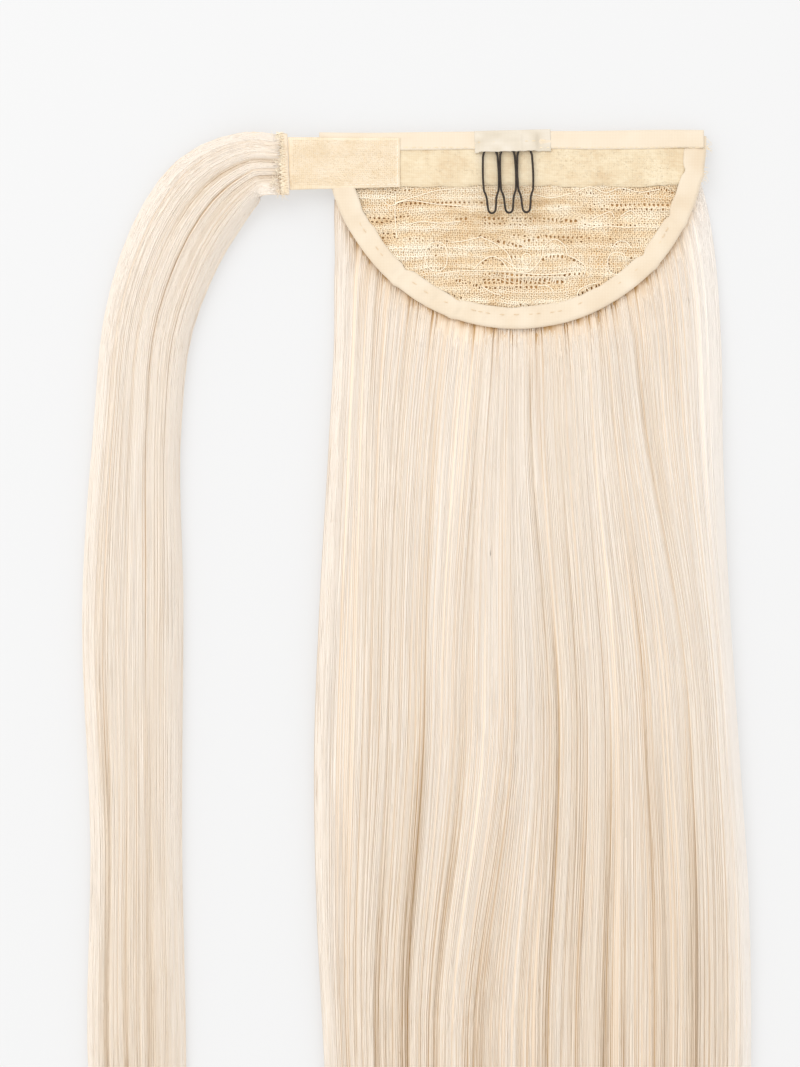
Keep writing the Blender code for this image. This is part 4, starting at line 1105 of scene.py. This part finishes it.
def loop_strip():
    """The strip of loop tape from below the straight tape, with fine ribs, two soft creases drawn only as
    painted shade, and its pile of small curled loops, which grow denser to the right. Its lower edge
    sinks to the net."""
    upper, lower, left = -5.8, -21.8, -49.5
    # Its right end lies this far inside the rim, under the curved tape
    inset = 6.6
    rim = [BASE_HALF_WIDTH * math.sqrt(1 - (drop / BASE_DEPTH) ** 2) - inset for drop in (-upper, -lower)]
    corners = ((left, upper), (left, lower), (rim[1], lower), (rim[0], upper))

    def height(x, y):
        tucked = 0.02 * smooth_step(0, 30, x) + 0.3 * smooth_step(-9.6, -7.9, y)
        ribs = 0.05 * np.sin(y * 5.2 + 3 * grain(x / 9, y / 4, 75))
        sunk = 0.42 * smooth_step(-19.8, -21.8, y)
        return LOOP_TAPE_TOP + tucked + ribs + 0.07 * grain(x / 6, y / 4, 72) - sunk

    def loop_tone(x, y):
        # Painted shade along two soft creases: the ground itself stays level there
        creases = np.exp(-(((x + 35.5) / 1.3) ** 2)) + np.exp(-(((x - 29.5 + 0.3 * y) / 1.2) ** 2))
        fine = 0.13 * grain(x / 7, y / 6, 73) + 0.11 * grain(x / 1.6 + y / 2, y / 0.7, 78)
        return 0.45 + fine - 0.14 * creases * smooth_step(-20, -9, y)

    def edges(x):
        return 0.5 * grain(x / 7, 0 * x, 76) + 0.25 * grain(x / 2.2, 0 * x, 77)

    strip("loop_tape_ground", corners, height, 0.42, edges, FINISH["loop"], "loop_tape", loop_tone,
          replaces=("loop_strip",))
    rng = np.random.default_rng(74)
    count = 1300
    x = -44.5 + rng.random(count) ** 0.7 * (rim[1] - 3 + 44.5)
    y = rng.uniform(lower + 0.4, upper - 1.4, count)
    turn = rng.uniform(0, math.tau, count)
    t = np.linspace(0, 1, 6)
    span = rng.uniform(0.5, 1.1, count)[:, None]
    curl = rng.uniform(-0.5, 0.5, count)[:, None]
    across, forward = curl * np.sin(math.pi * t) ** 2, span * (t - 0.5)
    px = x[:, None] + forward * np.cos(turn)[:, None] - across * np.sin(turn)[:, None]
    py = y[:, None] + forward * np.sin(turn)[:, None] + across * np.cos(turn)[:, None]
    pz = height(px, py) - 0.05 + rng.uniform(0.06, 0.13, count)[:, None] * np.sin(math.pi * t)
    points, faces = tubes(on_base(px, py, pz), 0.055 * MM)
    tone = np.repeat(rng.uniform(0.45, 0.8, count), len(t) * 3)
    piece("loop_tape_pile", points, faces, FINISH["loop"], "loop_tape", tone)


def strap_height(x, y):
    """Upper side of the strap: it lies over the straight tape, settles towards the loop tape, and rises
    to the wrapping strand's head."""
    over = 0.45 * smooth_step(-10.5, -7.5, y) + 0.35 * smooth_step(-74, -80, x)
    return 1.95 + over + 0.1 * grain(x / 9, y / 7, 82)


def hook_strap():
    """The strap of hook tape over the left corner, its field of tiny hooks and its sewn end."""
    corners = ((-91.4, -2.2), (-90.6, -23.6), (-46.4, -22.4), (-46.4, -2.4))

    def height(x, y):
        return strap_height(x, y) + 0.05 * grain(x / 0.6, y / 0.6, 81)

    def strap_tone(x, y):
        return 0.5 + 0.12 * grain(x / 6, y / 4, 83) + 0.1 * grain(x / 0.9, y / 0.9, 86)

    strip("hook_tape_ground", corners, height, 0.5, np.zeros_like, FINISH["hook"], "hook_tape", strap_tone,
          replaces=("hook_strap",))
    rng = np.random.default_rng(84)
    x, y = np.meshgrid(np.arange(-89.6, -48.4, 0.95), np.arange(-21.6, -3.4, 0.85))
    x = (x + 0.45 * (np.arange(x.shape[0]) % 2)[:, None]).ravel() + rng.normal(0, 0.08, x.size)
    y = y.ravel() + rng.normal(0, 0.08, y.size)
    t = np.linspace(0, 1, 4)
    lean = rng.uniform(-0.2, 0.2, x.size)[:, None]
    rise = strap_height(x, y)[:, None] - 0.05 + 0.36 * np.sin(t * 2.2)
    path = on_base(x[:, None] + 0.35 * t**2, y[:, None] + lean * t, rise)
    points, faces = tubes(path, 0.12 * MM)
    tone = np.repeat(rng.uniform(0.35, 1.0, x.size), len(t) * 3)
    piece("hook_tape_hooks", points, faces, FINISH["hook"], "hook_tape", tone)

    side = np.arange(-21.4, -3.2, 1.7)
    low = np.arange(-66.0, -48.0, 2.2)
    centres = np.concatenate([
        np.column_stack([np.full(len(side), -47.5), side]), np.column_stack([low, -21.4 + 0 * low])
    ])
    headings = np.concatenate([np.tile([0.0, 1.0], (len(side), 1)), np.tile([1.0, 0.0], (len(low), 1))])
    shape = stitches(centres, headings, 1.4, 0.13, strap_height(*centres.T) + 0.02, 85)
    piece("strap_stitches", *shape, FINISH["thread"], "hook_tape", 0.9)


def comb_place(x, drop):
    """Base plane place of a point of the comb, from its own middle and the drop below the patch."""
    turn = math.radians(1.5)
    return (
        -3.4 + x * math.cos(turn) + drop * math.sin(turn),
        -7.4 + x * math.sin(turn) - drop * math.cos(turn),
    )


def wire_comb():
    """One wire bent into three teeth: straight sides, a shoulder, a narrow foot with a half round bend,
    and a turn over to the next tooth that the patch hides."""
    pitch, steps = 6.9, 14
    # Half of a tooth from its turn to its foot: how far down, and how far from the tooth's middle
    profile = np.array([
        (-2.6, 1.60), (-0.6, 1.9), (0.6, 2.35), (2.2, 2.85), (4.4, 3.0), (15.4, 3.0), (16.6, 2.9),
        (18.0, 2.35), (19.4, 1.98), (22.0, 1.75), (24.0, 1.5),
    ])
    (turn_drop, turn_half), (foot_drop, foot_half) = profile[0], profile[-1]
    side = smooth_line(profile, 46)
    points = []
    for tooth in (-1, 0, 1):
        left = np.stack([tooth * pitch - side[:, 1], side[:, 0]], -1)
        right = np.stack([tooth * pitch + side[::-1, 1], side[::-1, 0]], -1)
        bend = np.linspace(0, math.pi, steps)[1:-1]
        foot_x, foot_y = tooth * pitch - foot_half * np.cos(bend), foot_drop + 1.75 * np.sin(bend)
        foot = np.stack([foot_x, foot_y], -1)
        points += [left, foot, right]
        if tooth < 1:
            over = np.linspace(0, math.pi, steps)[1:-1]
            gap = pitch / 2 - turn_half
            middle = (tooth + 0.5) * pitch
            points.append(np.stack([middle - gap * np.cos(over), turn_drop - gap * np.sin(over)], -1))
    line = smooth_line(np.concatenate(points), 460)
    x, y = comb_place(line[:, 0], line[:, 1])
    height = 2.55 + 0.5 * smooth_step(8, 26, line[:, 1])
    shape, faces = tubes(on_base(x, y, height)[None], 0.44 * MM, 10)
    piece("comb_of_bent_wire", shape, faces, FINISH["wire"], "wire", 0.5, replaces=("wire_comb",))


def comb_patch():
    """The gauze patch: a thin slab that lies on the tape, arches over the wire and creases a little."""
    u = np.linspace(-13.0, 17.6, 70)[:, None]
    v = np.linspace(8.1, -0.8, 24)[None]
    arch = smooth_step(-12.6, -10.6, u) * smooth_step(13.4, 10.9, u) * smooth_step(7.6, 5.2, v)
    crease = 0.12 * grain(u / 3.4 + 0 * v, v / 5 + 0 * u, 91) + 0.25 * np.exp(-((u - 5.4) / 0.5) ** 2) * arch
    ridge = 0.20 * np.exp(-((v - 3.2) / 0.5) ** 2)
    height = EDGE_TAPE_TOP + 1.45 * arch + crease * (0.3 + arch) - ridge
    ragged = 0.15 * grain(u / 1.2, u * 0, 92) * smooth_step(2, -0.8, v)
    x, y = comb_place(u + 0 * v, -v - ragged)
    half_gauze = 0.15
    points, faces = slab(on_base(x, y, height + half_gauze), on_base(x, y, height - half_gauze))
    tone = both_sides(0.5 + 0.18 * grain(u / 4 + 0 * v, v / 3 + 0 * u, 93))
    patch = piece("comb_patch_gauze", points, faces, FINISH["gauze"], "gauze", tone,
                  replaces=("comb_patch",))

    across = np.array([-11.0, -8.2, -5.4, 2.2, 5.0, 7.8, 10.6, 14.4])
    x, y = comb_place(across, -3.2 + 0 * across)
    shape = stitches(np.column_stack([x, y]), np.tile([1.0, 0.03], (len(x), 1)), 1.5, 0.12, 3.05, 94)
    piece("patch_stitches", *shape, FINISH["thread"], "gauze", 0.35)


def wrap_head_band():
    """The sewn head of the wrapping strand: a slanting ribbed band, low on its left, where the hair lies
    over it, and rounded off to the strap on its right."""
    v = np.linspace(0, 1, 60)[:, None]
    u = np.linspace(0, 1, 16)[None]
    left, right = -98.3 + 1.0 * v, -91.6 + 0.9 * v
    x = left + (right - left) * u
    y = -0.9 - 24.6 * v + 0 * u
    rib = 0.12 * np.sin(v * 95 + u * 3) + 0.15 * grain(u * 8 + 0 * v, v * 14 + 0 * u, 101)
    top_height = 2.0 + 1.6 * smooth_step(0.35, 0.6, u) - 1.1 * smooth_step(0.8, 1, u) + rib * (u > 0.3)
    top = on_base(x, y, top_height)
    under = on_base(x, y, 1.0 + 0 * x)
    points, faces = slab(top[::-1], under[::-1])
    tone = 0.85 + 0.2 * grain(u * 6 + 0 * v, v * 12 + 0 * u, 102) + 0.1 * u
    piece("wrap_head_band", points, faces, FINISH["weft"], "weft_thread", both_sides(tone)[::-1],
          replaces=("wrap_head",))


def wrap_head_threads():
    """Threads on the wrapping strand's sewn head: four that zigzag down it, two rows of crossing
    stitches, loose ends over the hair and the band, and frayed ends at its foot."""
    parts = []
    t = np.linspace(0, 1, 90)
    for number, shift in enumerate((0.0, 0.3, 0.55, 0.8)):
        turn = np.abs((t * (13 + number) + shift) % 1 - 0.5) * 4 - 1
        x = -94.9 + 2.3 * t + 1.5 * turn + 0.4 * grain(t * 9 + 20 * number, t * 0, 103)
        height = 4.0 + 0.3 * smooth_step(-94.2, -95.4, x) + 0.08 * number
        parts.append((*tubes(on_base(x, -0.6 - 25.0 * t, height)[None], 0.13 * MM, 4), 1.1))
    rng = np.random.default_rng(104)
    drops = np.arange(1.4, 25.0, 1.05)
    slant = -96.4 + 2.4 * drops / 25.0
    for side in (-1, 1):
        centres = np.column_stack([slant + 1.9 + rng.normal(0, 0.15, len(drops)), -drops + 0.3 * side])
        headings = np.tile([1.0, 0.35 * side], (len(drops), 1))
        parts.append((*stitches(centres, headings, 3.0, 0.10, 4.35, 105 + side), 0.95))

    # Loose ends over the hair and the band
    count = 70
    start = np.column_stack([rng.uniform(-98.5, -92.0, count), rng.uniform(-24.5, -1.5, count)])
    lean = rng.normal(math.pi / 2, 0.6, count)[:, None]
    s = np.linspace(-0.5, 0.5, 8)
    size = rng.uniform(2.0, 6.5, count)[:, None]
    x = start[:, :1] + size * s * np.cos(lean) + 0.12 * size * np.cos(math.pi * s)
    y = np.clip(start[:, 1:] + size * s * np.sin(lean), -26, -0.4)
    height = 3.95 + 0.25 * smooth_step(-94.0, -95.4, x)
    parts.append((*tubes(on_base(x, y, height), 0.07 * MM), 1.0))

    # Frayed ends at its foot
    count = 26
    start = np.column_stack([rng.uniform(-95.0, -93.0, count), rng.uniform(-25.6, -23.6, count)])
    lean = rng.normal(0.1, 0.5, count)
    length = rng.uniform(1.2, 3.4, count)
    s = np.linspace(0, 1, 6)
    x = start[:, :1] + (lean * length)[:, None] * s**1.5
    y = start[:, 1:] - length[:, None] * s
    parts.append((*tubes(on_base(x, y, 3.9 - 2.2 * s**2), 0.06 * MM * np.linspace(1, 0.4, 6)), 0.85))
    points, faces, tone = gathered(parts)
    piece("wrap_head_threads", points, faces, FINISH["lace"], "weft_thread", tone)


def corner_threads():
    """Frayed ends of thread at the right corner."""
    rng = np.random.default_rng(111)
    count = 44
    foot = np.where(rng.random(count) < 0.3, -6.4, -17.0) + rng.normal(0, 1.6, count)
    start_x = BASE_HALF_WIDTH * np.sqrt(1 - (foot / BASE_DEPTH) ** 2) - 0.3
    length = rng.uniform(1.0, 3.2, count)
    lean = rng.normal(-0.2, 0.5, count)
    s = np.linspace(0, 1, 6)
    x = start_x[:, None] + length[:, None] * s
    y = foot[:, None] + (lean * length)[:, None] * s**1.5
    points, faces = tubes(on_base(x, y, 0.6 - 0.8 * s**2), 0.09 * MM * np.linspace(1, 0.4, 6))
    piece("corner_thread_ends", points, faces, FINISH["lace"], "tape", 0.8)


# Studio


def camera():
    """Straight above the photo's middle, so far up that the frame is as tall as the photo's."""
    data = bpy.data.cameras.new("camera")
    data.lens = LENS
    data.sensor_width = SENSOR
    made = bpy.data.objects.new("camera", data)
    bpy.context.scene.collection.objects.link(made)
    distance = LENS * VIEW_HEIGHT / SENSOR
    x, y, z = on_floor(*VIEW_MIDDLE, VIEW_PLANE + distance)
    made.location = (x, y, z)
    bpy.context.scene.camera = made


def floor():
    """The wide opal glass of a light table, which the piece lies on."""
    half = 6.0
    mesh = bpy.data.meshes.new("floor")
    points = [(-half, -half, 0), (half, -half, 0), (half, half, 0), (-half, half, 0)]
    mesh.from_pydata(points, [], [(0, 1, 2, 3)])
    mesh.materials.append(floor_finish())
    made = bpy.data.objects.new("floor", mesh)
    bpy.context.scene.collection.objects.link(made)


def lights():
    """A bright even surround and one large soft light from the upper left."""
    world = bpy.data.worlds.new("studio")
    bpy.context.scene.world = world
    world.use_nodes = True
    surround = world.node_tree.nodes["Background"].inputs
    surround["Color"].default_value = colour("#ffffff")
    surround["Strength"].default_value = 1.08
    data = bpy.data.lights.new("soft_light", "AREA")
    data.shape = "SQUARE"
    data.size = 1.4
    data.energy = 12
    made = bpy.data.objects.new("soft_light", data)
    bpy.context.scene.collection.objects.link(made)
    made.location = (-0.9, 1.1, 1.6)
    made.rotation_euler = (math.radians(-38), math.radians(-32), 0)
    bpy.context.scene.view_settings.view_transform = "Standard"


camera()
floor()
lights()

# Each finish has three colours: in its depths, over most of it, and where it is lightest
FINISH = {
    # Synthetic hair fibre, pale ash blonde; its golden low tint is painted shade in its grooves
    "hair": hair_finish("hair_fibre", ("#b79262", "#f3e2cd", "#fff7ee")),
    # The same fibre behind the lace, where little light reaches it: its golden brown tints are painted shade
    "roots": hair_finish("hair_fibre_in_painted_shade", ("#b07d42", "#e0b67c", "#f0d4a6")),
    # Knitted lace net of textured nylon: pale threads, matt
    "lace": thread_finish("knitted_nylon_lace", ("#d0a468", "#f5dab2", "#fff1d8")),
    # Bias tape of woven polyester: fine threads at 0.25 mm, drawn at 0.6 mm so that they show
    "tape": woven_finish("woven_bias_tape", ("#cfb28d", "#e2d1b8", "#efe3d1"), 0.6, 0.02, 0.7),
    # Knitted ground and pile of loop tape: fuzzy and matt
    "loop": woven_finish("napped_loop_tape", ("#ceb088", "#e5d4b4", "#f3e7d2"), 0.7, 0.05, 0.95, 0.4),
    # Woven ground of hook tape with cut nylon hooks
    "hook": woven_finish("cut_hook_tape", ("#d6ba8c", "#ebd9bd", "#f4e9d8"), 0.8, 0.04, 0.85),
    # Stiff gauze of fine cotton: whiter than the tapes
    "gauze": woven_finish("stiff_cotton_gauze", ("#c8bba4", "#dcd1bf", "#ece6dc"), 0.55, 0.03, 0.8),
    # Overlocked weft of hair and thread: golden; its low tint on the rows under the net is partly painted
    # shade
    "weft": thread_finish("overlocked_weft", ("#c9a273", "#e6cda8", "#f6e6cf")),
    # Sewing thread of spun polyester: nearly white
    "thread": thread_finish("spun_sewing_thread", ("#e0c796", "#f6e4c2", "#fffaf0")),
    "wire": wire_finish(),
}

# A mass is cut more finely near its head, where it bends and swells
FALL = HairMass(FALL_SECTIONS, FALL_LOCKS, FALL_FURROWS, seed=200, gathered_at_rim=True)
fall_stations = np.concatenate([np.arange(0, 120, 3), np.linspace(120, FALL.total, 44)])
hair_body(FALL, "hair_fall_body", "hair_fall", 641, fall_stations)
strands(FALL, "hair_fall_strands", 950, 30, seed=400, head=(0, 6), radius=0.16)
strands(FALL, "hair_fall_wisps", 260, 20, seed=410, head=(0, 6), radius=0.10, spread=(-4.5, -1.0), bow=0.15)

WRAP = HairMass(WRAP_SECTIONS, WRAP_LOCKS, WRAP_FURROWS, seed=300, gathered_at_rim=False)
wrap_stations = np.concatenate([np.arange(0, 130, 2.5), np.linspace(130, WRAP.total, 44)])
hair_body(WRAP, "wrap_strand_body", "wrap_strand", 201, wrap_stations, reach=(3.4, 4.8))
strands(WRAP, "wrap_strand_strands", 380, 34, seed=500, head=(-4.2, -1.0), radius=0.15)
strands(WRAP, "wrap_strand_wisps", 150, 30, seed=510, head=(-3, 2), radius=0.10, spread=(-4.5, -1.2),
        bow=0.15)

hair_under_lace()
weft_rows()
lace()
curved_binding()
top_binding()
loop_strip()
hook_strap()
wire_comb()
comb_patch()
wrap_head_band()
wrap_head_threads()
corner_threads()
